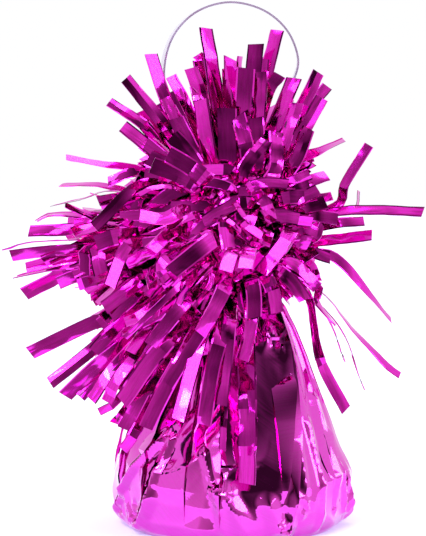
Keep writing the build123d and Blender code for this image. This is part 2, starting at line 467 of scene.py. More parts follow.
@dataclass(frozen=True)
class Crimp:
    """A mark of handling along a strip: its wavelength in millimetres, its own row of noise and its most."""

    length: float
    row: float
    most: float

    def at(self, run: float, start: float) -> float:
        """The mark at a distance along the strip, for the strip's own start."""
        return self.most * noise.noise(Vector((run / self.length, start, self.row)))


@dataclass
class Strip:
    """One film strip: its centre line, the direction of its width at each point, and its cut."""

    path: list[Vector]
    sides: list[Vector]
    width: float
    cup: float = 0.0
    slant: float = 0.0
    film_start: Pair = (0.0, 0.0)
    cups: list[float] = field(default_factory=list)
    curls: Pair = (0.0, 0.0)
    # Handled film waves by millimetres, turns by degrees and cups by millimetres
    wave: Crimp = Crimp(3.4, 0.0, 0.45)
    turn: Crimp = Crimp(4.6, 7.0, 26.0)
    hollow: Crimp = Crimp(2.8, 3.0, 0.5)

    def crimp(self, draw: random.Random, amount: float) -> None:
        """Crumples the strip a little: it waves, turns and cups unevenly along its way.

        Args:
            draw: the seeded source of chance.
            amount: 0 for smooth, 1 for well handled film.
        """
        start, run = draw.uniform(0.0, NOISE_RANGE), 0.0
        self.cups = [0.0, 0.0]
        for k in range(2, len(self.path)):
            way = self.path[k] - self.path[k - 1]
            heading, run = way.normalized(), run + way.length / MM
            face = heading.cross(self.sides[k]).normalized()
            self.path[k] = self.path[k] + face * (self.wave.at(run, start) * amount * MM)
            self.sides[k].rotate(Quaternion(heading, math.radians(self.turn.at(run, start) * amount)))
            self.cups.append(self.hollow.at(run, start) * amount * MM)


@dataclass
class FilmMesh:
    """Collects film surfaces as one mesh, with film coordinates in millimetres."""

    thickness: float = 0.12 * MM
    points: list[Vector] = field(default_factory=list)
    faces: list[tuple[int, ...]] = field(default_factory=list)
    film: list[Pair] = field(default_factory=list)

    def ribbon(self, strip: Strip, across: tuple[float, ...] = (-1.0, -CUT_EDGE, 0.0, CUT_EDGE, 1.0)) -> None:
        """Adds a strip as a closed ribbon.

        Args:
            strip: its centre line, sides and width.
            across: places across the width, from -1 to 1.
        """
        first, count, wide = len(self.points), len(strip.path), len(across)
        run = strip.film_start[1]
        for k, (centre, side) in enumerate(zip(strip.path, strip.sides)):
            ahead = strip.path[min(k + 1, count - 1)] - strip.path[max(k - 1, 0)]
            heading = ahead.normalized()
            face = heading.cross(side).normalized()
            run += (centre - strip.path[k - 1]).length / MM if k else 0.0
            end = strip.slant if k == count - 1 else 0.0
            cup = strip.cup + (strip.cups[k] if strip.cups else 0.0)
            for layer in (0.5, -0.5):
                for u in across:
                    point = centre + side * (u * strip.width / 2.0)
                    curl = strip.curls[u > 0.0] * max(0.0, abs(u) - CUT_EDGE) / (1.0 - CUT_EDGE)
                    point += face * (layer * self.thickness + cup * (u * u - 0.5) + curl)
                    point += heading * (end * u)
                    self.points.append(point)
                    self.film.append((strip.film_start[0] + u * strip.width / (2.0 * MM), run))
        ring = 2 * wide
        for k in range(count - 1):
            a, b = first + k * ring, first + (k + 1) * ring
            for j in range(wide - 1):
                self.faces.append((a + j, a + j + 1, b + j + 1, b + j))
                self.faces.append((a + wide + j, b + wide + j, b + wide + j + 1, a + wide + j + 1))
            self.faces.append((a, b, b + wide, a + wide))
            self.faces.append((a + wide - 1, a + ring - 1, b + ring - 1, b + wide - 1))
        last = first + (count - 1) * ring
        for j in range(wide - 1):
            self.faces.append((first + j, first + wide + j, first + wide + j + 1, first + j + 1))
            self.faces.append((last + j, last + j + 1, last + wide + j + 1, last + wide + j))

    def build(self, name: str, material: Material, sharp_deg: float = 14.0, weld: float = 0.0) -> Thing:
        """Makes the object.

        Args:
            name: the object's name.
            material: its finish.
            sharp_deg: edges that turn more than this stay sharp.
            weld: points nearer than this become one.

        Returns:
            The object, linked to the scene.
        """
        mesh = bpy.data.meshes.new(name)
        mesh.from_pydata([tuple(p) for p in self.points], [], self.faces)
        layer = mesh.uv_layers.new(name="film")
        for loop in mesh.loops:
            layer.data[loop.index].uv = self.film[loop.vertex_index]
        if weld:
            shape = bmesh.new()
            shape.from_mesh(mesh)
            bmesh.ops.remove_doubles(shape, verts=shape.verts, dist=weld)
            shape.to_mesh(mesh)
            shape.free()
        mesh.materials.append(material)
        mesh.shade_smooth()
        mesh.set_sharp_from_angle(angle=math.radians(sharp_deg))
        mesh.validate()
        return put(name, mesh)


@dataclass(frozen=True)
class Fold:
    """One pleat line of the bag: degrees to the right of the front at the floor and at the neck.

    The lip stands out along the line. The panel after it bows, tilts and keeps a share of small creases.
    """

    base: float
    neck: float
    lip: float = 0.5
    bow: float = 0.0
    tilt: float = 0.6
    calm: float = 1.0


@dataclass(frozen=True)
class Crease:
    """A ridge pressed in the film, from (degrees, height in mm) to the same further up."""

    low: Pair
    high: Pair
    height: float
    width: float


@dataclass(frozen=True)
class Ridges:
    """Ridged noise over the film: its size and its most in millimetres, its sharpness, level and place."""

    size: float
    most: float
    power: int
    level: float
    shift: Triple = (0.0, 0.0, 0.0)

    def at(self, spot: Vector) -> float:
        """How far the ridges stand out at a spot, in millimetres."""
        ridge = 1.0 - abs(noise.noise(spot / self.size + Vector(self.shift)))
        return self.most * (ridge**self.power - self.level)


@dataclass
class FoilWrap:
    """The gathered bag: a sheet over the cup, knife-pleated into flat panels that meet at the neck.

    Heights and distances are in millimetres. A pair of heights says where a form starts and is full.
    """

    profile: tuple[Pair, ...] = (
        (0, 30.2), (1.2, 31.3), (4, 32.5), (10, 33), (14.5, 32.7), (19, 31.1), (24, 29.1),
        (27, 27.9), (33, 25.5), (40, 22.9), (48.5, 19.7), (55, 17), (61, 14), (66, 9.2),
        (69.2, 6.15), (72, 6), (93.5, 5.6),
    )
    front_folds: tuple[Fold, ...] = (
        Fold(-98, -92, 0.4, -0.3, 0.6, 0.5),
        Fold(-74, -60, 0.6, 0.2, 0.6, 0.5),
        Fold(-50, -44, 0.3, -0.2, 0.3, 0.5),
        Fold(-24, -24, 0.4, -0.3, 0.3, 0.5),
        Fold(-6, -8, 0.4, -0.2, 2.2, 0.25),
        Fold(22, 57, 1, -0.3, 0.3, 0.3),
        Fold(29, 63, 0.8, 0.3, -0.4, 0.3),
        Fold(47, 71, 0.5, -0.2, 0.6, 0.3),
        Fold(56, 76, 0.4, 0.2, 0.6, 0.3),
        Fold(65, 81, 0.6, -0.3, 0.6, 0.3),
        Fold(75, 85, 0.4, 0.2, 0.6, 0.3),
        Fold(86, 90, 0.6, -0.2, 0.6, 0.5),
    )
    creases: tuple[Crease, ...] = (
        Crease((-77, 5), (-45, 26), 1.3, 2.6),
        Crease((-68, 10), (-42, 28), 0.9, 1.8),
        Crease((-60, 2), (-66, 12), 0.9, 2.2),
        Crease((-46, 7), (-38, 27), 1.1, 2),
        Crease((-54, 0.5), (-44, 11), 1.6, 3.4),
        Crease((-9, 15), (-15, 24), 1, 2),
        Crease((-2, 0.5), (-9, 15), 1.3, 2.2),
        Crease((8.5, 0.5), (-4, 13.5), 2, 4.4),
        Crease((25, 0.5), (17, 11), 1.6, 3.6),
        Crease((27, 1), (32, 12), 1.1, 2.4),
        Crease((35, 7), (44, 42), 0.7, 1.8),
        Crease((47, 2), (51, 31), 0.9, 2),
        Crease((61, 6), (69, 36), 0.9, 1.8),
        Crease((73, 5), (70, 27), 0.8, 1.6),
        Crease((80, 2), (77, 13), 1, 2.2),
    )
    # Crumpled spots: degrees, height, radius and depth, then how deep their noise cuts and its size
    crumples: tuple[tuple[float, float, float, float], ...] = (
        (40, 53, 5.5, 1.3), (-54, 4.5, 6, 1.2), (25, 3, 5, 1.2), (78, 6, 6, 1.2),
        (-74, 4, 5, 1), (36, 9, 4, 0.9),
    )
    crumple_noise: Pair = (2.4, 3.2)
    # The fuller side: degrees, height, spread in degrees and in height, and how far it stands out
    fuller: tuple[float, float, float, float, float] = (-84, 29, 30, 10, 3.2)
    # The film lies on the cup up to this height, at this radius
    cup_rim: Pair = (20.6, 30.0)
    cup_foot: float = 1.0
    # Small creases run up the film, so their noise is drawn out in height by this share
    drawn_out: float = 0.4
    broad: Ridges = Ridges(11.0, 0.55, 3, 0.5)
    fine: Ridges = Ridges(4.2, 0.14, 3, 0.5, (7.0, 3.0, 1.0))
    fine_full: Pair = (8.0, 20.0)
    # The slack film low down swells and lumps
    swell: Ridges = Ridges(17.0, 1.9, 2, 0.6, (5.0, 1.0, 8.0))
    lump: float = 0.6
    taut: Pair = (14.0, 34.0)
    relief_full: float = 2.5
    # Folds round the back: how many, their unevenness as a share of a step, their lean, lips and bows
    back_folds: int = 12
    back_shift: float = 0.25
    back_lean: float = 5.0
    back_lips: Pair = (0.3, 0.8)
    back_bows: Pair = (-0.5, 0.3)
    column_deg: float = 0.9
    columns_least: int = 6
    rows: int = 130
    row_ease: float = 0.45
    neck: float = 70.0
    stem_top: float = 93.5
    film: float = 0.12
    flat_full: Pair = (5.0, 30.0)
    pleat_full: Pair = (3.0, 20.0)
    # A pleat turns inwards by the first angle low down, and by both together at the neck
    pleat_turns: Pair = (10.0, 74.0)
    turn_full: Pair = (24.0, 60.0)
    core: float = 2.6
    # The layers of a pleat: how far apart, at which share of its depth, and how far under the panel
    layer: float = 0.22
    layer_share: float = 0.4
    layer_open: float = 0.8
    tuck_share: float = 0.35
    tuck_under: float = 0.3
    # Along a pleat line, the valley's depth and width and the lip's width
    valley: Pair = (0.25, 1.2)
    lip_width: float = 1.1
    base_rings: Triple = (0.85, 0.6, 0.3)
    sharp_deg: float = 20.0
    weld: float = 0.03
    seed: int = 11

    def radius(self, height: float) -> float:
        """The bag's outer radius at a height."""
        return along(self.profile, height)

    def sheet_radius(self, height: float) -> float:
        """How far a height is from the middle of the flat sheet.

        Args:
            height: millimetres above the floor.

        Returns:
            The distance along the film, in millimetres.
        """
        run = self.profile[0][1]
        for (a, low), (b, high) in zip(self.profile, self.profile[1:]):
            share = min(1.0, max(0.0, (height - a) / (b - a)))
            run += share * math.hypot(b - a, high - low)
        return run

    def folds(self) -> list[Fold]:
        """The front's folds, then uneven ones round the back.

        Returns:
            All folds in rising order, over a whole turn.
        """
        draw = random.Random(self.seed)
        folds = list(self.front_folds)
        start, stop = folds[-1].base, folds[0].base + 360.0
        step = (stop - start) / (self.back_folds + 1)
        for k in range(1, self.back_folds + 1):
            base = start + step * (k + draw.uniform(-self.back_shift, self.back_shift))
            neck = base + draw.uniform(-self.back_lean, self.back_lean)
            folds.append(Fold(base, neck, draw.uniform(*self.back_lips), draw.uniform(*self.back_bows)))
        return folds

    def heights(self) -> list[float]:
        """Row heights from the floor's edge to the stem's top, closer together low down."""
        shares = [k / (self.rows - 1) for k in range(self.rows)]
        return [self.stem_top * ((1.0 - self.row_ease) * s + self.row_ease * s * s) for s in shares]

    def bulge(self, angle: float, height: float) -> float:
        """How far the bag stands out on its fuller side.

        Args:
            angle: radians to the right of the front.
            height: millimetres above the floor.

        Returns:
            The distance in millimetres.
        """
        place, middle, spread, rise, most = self.fuller
        turn = (math.degrees(angle) - place + 180.0) % 360.0 - 180.0
        return most * math.exp(-((turn / spread) ** 2) - ((height - middle) / rise) ** 2)

    def relief(self, angle: float, height: float, calm: float) -> float:
        """Creases and crumples of the handled film.

        Args:
            angle: radians to the right of the front.
            height: millimetres above the floor.
            calm: share of the small creases that the panel keeps.

        Returns:
            How far the film stands out, in millimetres.
        """
        ring = self.radius(height)
        spot = Vector((math.sin(angle) * ring, -math.cos(angle) * ring, height))
        drawn = Vector((spot.x, spot.y, height * self.drawn_out))
        out = calm * (self.broad.at(drawn) + self.fine.at(drawn) * smooth(*self.fine_full, height))
        slack = 1.0 - smooth(*self.taut, height)
        out += slack * (self.swell.at(spot) + self.lump * noise.noise(spot / self.swell.size))
        turn = (math.degrees(angle) + 180.0) % 360.0 - 180.0
        for crease in self.creases:
            (a, low), (b, high) = crease.low, crease.high
            share = min(1.0, max(0.0, (height - low) / (high - low)))
            aside = math.radians(turn - a - (b - a) * share) * ring
            above = height - (low + (high - low) * share)
            out += crease.height * max(0.0, 1.0 - math.hypot(aside, above) / crease.width)
        cut, grain = self.crumple_noise
        for place, middle, size, depth in self.crumples:
            away = math.hypot(math.radians(turn - place) * ring, height - middle)
            if away < size:
                out += depth * (1.0 - away / size) * (1.0 - cut * abs(noise.noise(spot / grain)))
        return out * smooth(0.0, self.relief_full, height)

    def pleat(self, height: float, count: int) -> Pair:
        """Depth of each pleat, from the width that the flat sheet has to spare, and its turn inwards.

        Args:
            height: millimetres above the floor.
            count: pleats round the bag.

        Returns:
            The depth in millimetres and the turn in radians.
        """
        ring = self.radius(height)
        spare = math.pi * (self.sheet_radius(height) - ring) / count
        depth = min(spare, ring - self.core) * smooth(*self.pleat_full, height)
        first, more = self.pleat_turns
        return depth, math.radians(first + more * smooth(*self.turn_full, height))

    def tuck(self, angle: float, radius: float, height: float, depth: float, turn: float) -> list[Vector]:
        """The film's way from the end of one panel, in under it, and out to the next panel.

        Args:
            angle: the pleat line's place, radians to the right of the front.
            radius: the panel's radius there.
            height: millimetres above the floor.
            depth: the pleat's depth.
            turn: how far the pleat turns inwards.

        Returns:
            The points in millimetres.
        """
        out = Vector((math.sin(angle), -math.cos(angle), 0.0))
        aside = Vector((math.cos(angle), math.sin(angle), 0.0))
        inward = -aside * math.cos(turn) - out * math.sin(turn)
        apart = out * math.cos(turn) - aside * math.sin(turn)
        apart = apart * min(self.layer, self.layer_share * depth) * self.layer_open
        start = out * (radius - min(self.tuck_under, depth)) + UP * height
        middle = start + inward * (self.tuck_share * depth)
        return [middle + apart, start + inward * depth, middle - apart]

    def row(self, folds: list[Fold], height: float) -> list[Vector]:
        """One row of the bag.

        Args:
            folds: the pleat lines.
            height: the row's height in millimetres.

        Returns:
            The row's points in millimetres, once round.
        """
        rise = smooth(0.0, self.neck, height)
        flat = smooth(*self.flat_full, height)
        step = smooth(*self.pleat_full, height)
        ring = self.radius(height)
        depth, turn = self.pleat(height, len(folds))
        lines = [math.radians(f.base + (f.neck - f.base) * rise) for f in folds]
        lines.append(lines[0] + 2.0 * math.pi)
        points = []
        for k, (fold, columns) in enumerate(zip(folds, self.columns(folds))):
            low, high = lines[k], lines[k + 1]
            lip = folds[(k + 1) % len(folds)].lip * step
            half, middle = (high - low) / 2.0, (high + low) / 2.0
            radius = ring
            for j in range(columns + 1):
                u = j / columns
                angle = low + (high - low) * u
                near, far = (angle - low) * ring, (high - angle) * ring
                chord = ring * math.cos(half) / math.cos(angle - middle)
                radius = ring + (chord - ring) * flat + fold.bow * math.sin(math.pi * u) * flat
                radius += step * fold.tilt * (u - 0.5)
                radius -= step * self.valley[0] * math.exp(-near / self.valley[1])
                radius += lip * math.exp(-far / self.lip_width)
                radius += self.bulge(angle, height) + self.relief(angle, height, fold.calm)
                if self.cup_foot < height < self.cup_rim[0]:
                    radius = max(radius, self.cup_rim[1])
                points.append(Vector((math.sin(angle) * radius, -math.cos(angle) * radius, height)))
            points.extend(self.tuck(high, radius, height, depth, turn))
        return points

    def columns(self, folds: list[Fold]) -> list[int]:
        """How many steps each panel is wide."""
        bases = [fold.base for fold in folds] + [folds[0].base + 360.0]
        return [max(self.columns_least, round((b - a) / self.column_deg)) for a, b in zip(bases, bases[1:])]

    def build(self, material: Material) -> Thing:
        """Makes the bag as a thin closed film.

        Args:
            material: the film.

        Returns:
            The bag's object.
        """
        folds = self.folds()
        mesh = FilmMesh()
        count = sum(self.columns(folds)) + 4 * len(folds)
        for height in self.heights():
            spread = self.sheet_radius(height)
            for j, point in enumerate(self.row(folds, height)):
                mesh.points.append(point * MM)
                mesh.film.append((2.0 * math.pi * spread * j / count, spread))
        for row in range(self.rows - 1):
            for j in range(count):
                a, b = row * count + j, row * count + (j + 1) % count
                mesh.faces.append((a, b, b + count, a + count))
        edge, previous = [mesh.points[j].copy() for j in range(count)], 0
        for share in self.base_rings:
            start = len(mesh.points)
            for point in edge:
                mesh.points.append(Vector((point.x * share, point.y * share, point.z)))
                mesh.film.append((point.x * share / MM, point.y * share / MM))
            for j in range(count):
                following = (j + 1) % count
                mesh.faces.append((previous + following, previous + j, start + j, start + following))
            previous = start
        mesh.points.append(Vector((0.0, 0.0, 0.0)))
        mesh.film.append((0.0, 0.0))
        for j in range(count):
            mesh.faces.append((previous + (j + 1) % count, previous + j, len(mesh.points) - 1))
        bag = mesh.build("foil_bag", material, self.sharp_deg, self.weld * MM)
        shell = bag.modifiers.new("film", "SOLIDIFY")
        shell.thickness = self.film * MM
        shell.offset = -1.0
        return bag


@dataclass(frozen=True)
class Way:
    """How loosely a strip lies: spreads in degrees, and the least and most share of the turn's length."""

    aside: float
    rise: float
    roll: float
    twist: float
    curl: float
    kink: float
    lengths: Pair


class Lay(Enum):
    """A strip keeps to its row, or lies loose beside it."""

    ROW = Way(0.0, 0.0, 14.0, 16.0, 5.0, 8.0, (0.97, 1.0))
    LOOSE = Way(7.0, 5.0, 45.0, 34.0, 16.0, 28.0, (0.62, 0.98))


@dataclass(frozen=True)
class Tier:
    """One turn of fringe: its CAD node, its place on the stem and how its rows of strips lie.

    Elevations and droop are in degrees, lengths in millimetres. A slotted turn counts its strips in front
    of the loop, and a bare one leaves a stretch of the bag uncovered. No strip of its rows comes further
    to the front than the distance given.
    """

    node: str
    low: float
    elevations: Triple
    droop: float
    length: float
    count: int
    front: float
    slotted: bool = False
    bare: bool = False


@dataclass(frozen=True)
class FrontStrip:
    """A strip that can be told apart in the photograph.

    Its line runs from root to tip through (column, row, depth in mm). A roll of 0 degrees shows its face
    to the camera; more turns the face up or to the left. The crease is in millimetres, and the crimp is
    0 for smooth film.
    """

    width_px: float
    rolls: Pair
    line: tuple[Triple, ...]
    crease: float
    crimp: float


def laid(
    width_px: float, rolls: Pair, *line: Triple, crease: float = 0.06, crimp: float = 0.35
) -> FrontStrip:
    """A strip of the photograph that passes these spots, with the crease and crimp that most have."""
    return FrontStrip(width_px, rolls, line, crease, crimp)


SKIRT_LOW, SKIRT_HIGH = "skirt_fringe_lower", "skirt_fringe_upper"
COLLAR_LOW, COLLAR_HIGH = "collar_fringe_lower", "collar_fringe_upper"
CROWN_OUT, CROWN_IN = "crown_fringe_outer", "crown_fringe_inner"

# The photograph's strips by turn, each turn in the order in which they are laid
FRONT_STRIPS: dict[str, tuple[FrontStrip, ...]] = {
    SKIRT_LOW: (
        laid(14.5, (-16, -4), (212, 266, -6), (125, 343, -16), (95, 367, -16), (65, 396, -15)),
        laid(12, (12, 14), (212, 266, -7), (120, 355, -13), (80, 397, -16)),
        laid(13, (-14, 26), (214, 266, -7), (119, 362, -22), (91, 400, -25)),
        laid(13, (20, 26), (216, 267, -7), (126, 367, -25), (107, 402, -25)),
        laid(8, (-24, 4), (214, 267, -6), (125, 391, -16), (99, 412, -15)),
        laid(10, (-20, 28), (216, 268, -7), (127, 407, -22), (113, 418, -22)),
        laid(14, (8, 6), (218, 268, -8), (153, 379, -28), (124, 429, -29)),
        laid(11, (18, -16), (218, 268, -8), (142, 420, -33), (123, 450, -34)),
        laid(14, (16, 17), (228, 268, -9), (207, 320, -31), (194, 361, -38), (178, 420, -46),
             crease=0.02, crimp=0.1),
        laid(12, (-14, -4), (228, 262, -9), (206, 322, -34), (190, 350, -37), (168, 385, -38)),
        laid(17, (0, 18), (222, 266, -9), (172, 335, -34), (150, 362, -37), (122, 402, -37), crease=0.1,
             crimp=0.5),
        laid(15, (0, 12), (226, 268, -9), (190, 345, -34), (170, 380, -37), (146, 428, -38), crease=0.1,
             crimp=0.5),
        laid(15, (-20, 10), (230, 268, -9), (222, 330, -33), (212, 370, -36), (204, 425, -37),
             crease=0.1, crimp=0.6),
        laid(14, (-24, 14), (234, 268, -9), (230, 320, -32), (226, 360, -35), (220, 405, -36),
             crease=0.1, crimp=0.6),
        laid(18, (8, 26), (238, 268, -9), (245, 320, -22), (247, 380, -27.5), (248, 430, -31.5),
             (247, 484, -35.2), crease=0.1, crimp=1.2),
        laid(7, (-22, 16), (233, 268, -9), (228, 330, -22), (226, 380, -27.5), (222, 450, -33),
             crease=0.1, crimp=1.2),
    ),
    SKIRT_HIGH: (
        laid(12, (55, 18), (260, 255, -6), (300, 284, -10), (310, 302, -10), (320, 359, -10),
             (346, 410, -8)),
        laid(10, (84, 50), (262, 252, -5), (324, 294, -4), (351, 327, -2), (387, 365, 0), (400, 375, 0)),
        laid(8, (86, 86), (260, 254, 4), (335, 321, 6), (364, 389, 8)),
        laid(8, (87, 87), (258, 254, 5), (322, 310, 8), (345, 362, 10)),
        laid(10, (12, 80), (256, 254, -7), (314, 283, -18), (317, 301, -18), (336, 325, -16)),
        laid(11, (0, 34), (252, 255, -8), (287, 278, -20), (307, 288, -21)),
        laid(9, (30, 32), (260, 250, -6), (307, 261, -10), (318, 281, -12)),
        laid(15, (-44, 32), (230, 252, -9), (222, 269, -31), (206, 290, -35)),
        laid(12, (14, -18), (206, 254, -6), (100, 279, -22), (78, 285, -23)),
        laid(14, (32, 12), (204, 253, -4), (76, 268, -10), (54, 279, -10), (24, 294, -10)),
        laid(14.2, (4, -6), (206, 255, -4), (116, 314, -2), (90, 324, -2), (30, 353, -1)),
        laid(13, (-16, 16), (208, 256, -6), (119, 323, -10), (95, 347, -10), (50, 383, -12), crease=0.4),
        laid(16, (0, -24), (224, 256, -9), (186, 300, -36), (150, 345, -40)),
        laid(7, (2, -26), (222, 255, -9), (184, 282, -38), (125, 338, -45)),
        laid(14, (0, 42), (220, 254, -8), (149, 310, -36), (125, 322, -38)),
        laid(14, (32, -18), (206, 252, -5), (110, 268, -16), (76, 276, -18), (58, 283, -18)),
        laid(14, (20, 14), (212, 254, -7), (150, 276, -22), (128, 290, -24), (104, 308, -24)),
        laid(14, (-16, 6), (212, 255, -7), (150, 285, -20), (125, 304, -22), (100, 325, -22)),
        laid(13, (6, -20), (226, 254, -9), (190, 248, -32), (172, 258, -36), (162, 266, -36)),
        laid(12, (2, 26), (222, 254, -9), (176, 256, -34), (160, 266, -38), (166, 281, -38)),
        laid(11, (0, -24), (222, 255, -9), (176, 264, -32), (152, 272, -36), (153, 288, -36)),
        laid(8, (0, 32), (228, 254, -9), (212, 258, -34), (190, 282, -40), (178, 304, -41)),
        laid(16, (-12, -27), (230, 256, -9), (226, 282, -32), (216, 305, -36), (200, 334, -38),
             crease=0.1, crimp=0.6),
        laid(14, (4, 22), (238, 256, -9), (250, 300, -28), (250, 330, -32), (242, 360, -33), crease=0.1,
             crimp=0.5),
        laid(15, (12, 20), (246, 256, -9), (262, 272, -26), (272, 290, -29), (276, 313, -30), crease=0.1,
             crimp=0.6),
        laid(14, (-22, 28), (250, 256, -9), (274, 268, -24), (292, 282, -26), (305, 300, -26),
             crease=0.1, crimp=0.6),
        laid(15, (0, 0), (242, 256, -9), (250, 275, -28), (254, 295, -31), (254, 318, -32), crease=0.1,
             crimp=0.6),
        laid(13, (38, 30), (250, 254, -9), (278, 258, -24), (298, 266, -25), (314, 282, -24), crease=0.1,
             crimp=0.6),
    ),
    COLLAR_LOW: (
        laid(12.5, (34, 34), (262, 243, -5), (317, 241, -8), (372, 235, -8)),
        laid(11, (12, 30), (262, 238, -6), (330, 224, -11), (364, 221, -11)),
        laid(10, (6, 68), (260, 243, -7), (312, 252, -15), (341, 262, -14), (391, 320, -8)),
        laid(15.5, (10, 18), (252, 236, -8), (288, 229, -26), (287, 239, -33), (261, 273, -35)),
        laid(14, (0, 30), (246, 240, -8), (260, 206, -27), (270, 214, -30)),
        laid(15, (18, 2), (244, 240, -8), (256, 234, -30), (272, 240, -34)),
        laid(7, (0, -22), (256, 242, -7), (311, 241, -14), (322, 224, -14)),
        laid(12, (0, 34), (254, 243, -7), (283, 266, -20), (316, 250, -21)),
        laid(16.5, (0, 4), (228, 240, -9), (218, 236, -34), (171, 272, -43)),
        laid(12, (0, 34), (228, 243, -9), (214, 259, -34), (182, 292, -40)),
        laid(14, (18, 8), (232, 243, -9), (235, 247, -33), (232, 252, -39), (226, 271, -45)),
        laid(15.5, (16, 6), (238, 243, -9), (248, 246, -33), (248, 252, -39), (245, 268, -45)),
        laid(13, (0, 22), (206, 240, -6), (140, 242, -28), (124, 251, -33), (110, 286, -38)),
        laid(14.5, (0, 16), (206, 241, -6), (106, 247, -24), (98, 257, -27), (101, 274, -28)),
        laid(11, (4, 2), (206, 242, -5), (95, 249, -16), (85, 258, -18), (85, 278, -19)),
        laid(12, (-16, -18), (204, 240, -4), (100, 248, -12), (42, 252, -13), (11, 256, -13)),
        laid(9, (80, 84), (204, 238, -3), (45, 241, 2), (2, 250, 3)),
        laid(10, (28, 80), (204, 242, -5), (100, 262, -16), (57, 268, -17), (15, 277, -17)),
        laid(13, (26, 32), (204, 241, -4), (80, 256, -9), (26, 268, -9), crease=0.3),
        laid(12, (0, -20), (204, 238, -4), (110, 236, -10), (76, 248, -12), (44, 262, -13)),
        laid(8, (0, 6), (240, 238, -8), (240, 222, -30), (247, 226, -35), (262, 236, -37)),
        laid(5, (0, 42), (236, 238, -8), (226, 220, -30), (232, 223, -34), (241, 231, -35)),
        laid(14, (0, -20), (232, 240, -9), (226, 220, -30), (226, 230, -34), (229, 250, -37)),
        laid(14, (2, 14), (256, 238, -7), (276, 232, -20), (292, 226, -22), (316, 214, -22), crease=0.1,
             crimp=0.6),
        laid(12, (2, 28), (256, 240, -7), (290, 250, -16), (310, 252, -18), (330, 258, -18)),
    ),
    COLLAR_HIGH: (
        laid(9, (3, 3), (256, 220, -5), (296, 168, -4), (313, 157, -4)),
        laid(8, (-5, -5), (256, 222, -5), (297, 174, -4), (313, 163, -4)),
        laid(13, (22, 66), (254, 220, -7), (288, 168, -9), (322, 150, -10), (344, 140, -10)),
        laid(10, (26, 10), (262, 228, -4), (334, 207, -5), (345, 183, -5), (369, 145, -4)),
        laid(10.5, (36, 34), (262, 230, -6), (335, 212, -9), (377, 210, -9), (423, 212, -8)),
        laid(9, (74, 76), (262, 226, -4), (340, 213, -4), (356, 207, -4), (359, 191, -4)),
        laid(10, (32, -18), (260, 224, -4), (308, 202, -4), (332, 196, -3)),
        laid(15.5, (16, 40), (220, 228, -8), (186, 212, -30), (165, 219, -36), (140, 216, -36)),
        laid(15.5, (4, 30), (220, 230, -8), (179, 228, -31), (151, 250, -35)),
        laid(10, (84, -22), (224, 231, -8), (214, 230, -32), (181, 253, -38)),
        laid(13, (-4, 32), (204, 230, -3), (120, 226, -6), (76, 229, -7), (29, 231, -7), crease=0.2),
        laid(12, (50, 72), (206, 224, -5), (115, 188, -8), (61, 185, -8)),
        laid(10, (86, 87), (208, 224, -6), (121, 192, -16), (83, 199, -17), (52, 206, -17)),
        laid(10, (0, 60), (206, 227, -5), (110, 222, -16), (89, 215, -18), (65, 205, -18)),
        laid(10, (8, 80), (204, 228, -3), (64, 214, 0), (36, 221, 0)),
        laid(5, (42, 40), (222, 222, -8), (190, 190, -24), (176, 178, -28), (167, 181, -29)),
        laid(6, (36, 40), (216, 224, -8), (180, 190, -24), (154, 188, -28), (139, 195, -29)),
        laid(11, (0, 28), (226, 224, -8), (216, 200, -26), (208, 193, -28), (191, 198, -29)),
        laid(11, (0, -12), (234, 224, -8), (258, 206, -24), (257, 193, -27), (239, 191, -28)),
        laid(12, (0, -26), (232, 226, -9), (240, 204, -28), (228, 207, -31), (203, 222, -33)),
        laid(8, (10, 34), (224, 229, -9), (200, 216, -30), (186, 219, -34), (168, 228, -36)),
        laid(5, (0, 14), (236, 228, -8), (234, 202, -28), (238, 207, -32), (245, 217, -36)),
        laid(14, (16, -14), (214, 222, -8), (170, 196, -14), (150, 192, -16), (118, 200, -17)),
        laid(12, (-10, 0), (212, 224, -8), (165, 205, -16), (140, 204, -18), (112, 212, -18)),
        laid(16, (0, 0), (206, 232, -5), (130, 236, -25), (112, 238, -27), (96, 244, -27)),
        laid(11, (14, -18), (208, 226, -5), (150, 200, -12), (120, 198, -14), (98, 201, -14)),
        laid(12, (-16, 30), (206, 228, -4), (120, 216, -8), (92, 222, -9), (74, 225, -9)),
        laid(10, (4, -4), (222, 222, -8), (234, 194, -27), (216, 183, -30), (178, 181, -32)),
        laid(11, (0, 32), (232, 222, -8), (246, 192, -27), (262, 183, -29), (288, 184, -29)),
        laid(13, (0, 32), (246, 224, -8), (258, 200, -27), (266, 204, -30), (272, 223, -31)),
        laid(15, (22, 32), (246, 226, -8), (264, 216, -27), (282, 216, -29), (299, 219, -29)),
        laid(17, (0, 6), (220, 205, -8), (208, 182, -31), (190, 167, -32.5), (168, 154, -34)),
        laid(16, (0, 2), (216, 208, -8), (200, 187, -30), (178, 174, -32), (152, 165, -33.5)),
    ),
    CROWN_OUT: (
        laid(11.5, (-14, 34), (218, 200, -8), (154, 136, -10), (140, 122, -10), (109, 102, -8), crease=0.3),
        laid(14, (2, 34), (218, 203, -9), (154, 151, -16), (123, 126, -17)),
        laid(13, (-8, 30), (220, 200, -6), (159, 136, -8), (139, 112, -8)),
        laid(13.5, (-22, 26), (222, 203, -9), (173, 136, -15), (126, 78, -16), crease=0.8),
        laid(14, (4, 26), (222, 203, -9), (177, 120, -15), (165, 98, -15)),
        laid(19, (-10, 0), (230, 205, -9), (229, 178, -19), (228, 145, -20), (227, 108, -20)),
        laid(18, (18, 18), (224, 205, -9), (208, 186, -24), (188, 154, -22.5), (172, 136, -22)),
        laid(17, (4, 20), (222, 207, -9), (206, 188, -25), (168, 167, -23.5), (148, 158, -23)),
        laid(15, (2, 16), (224, 208, -9), (208, 194, -26), (184, 180, -25), (160, 172, -24.5)),
        laid(18, (10, 4), (236, 205, -9), (241, 172, -16), (243, 120, -17), (246, 68, -17), crimp=0.8),
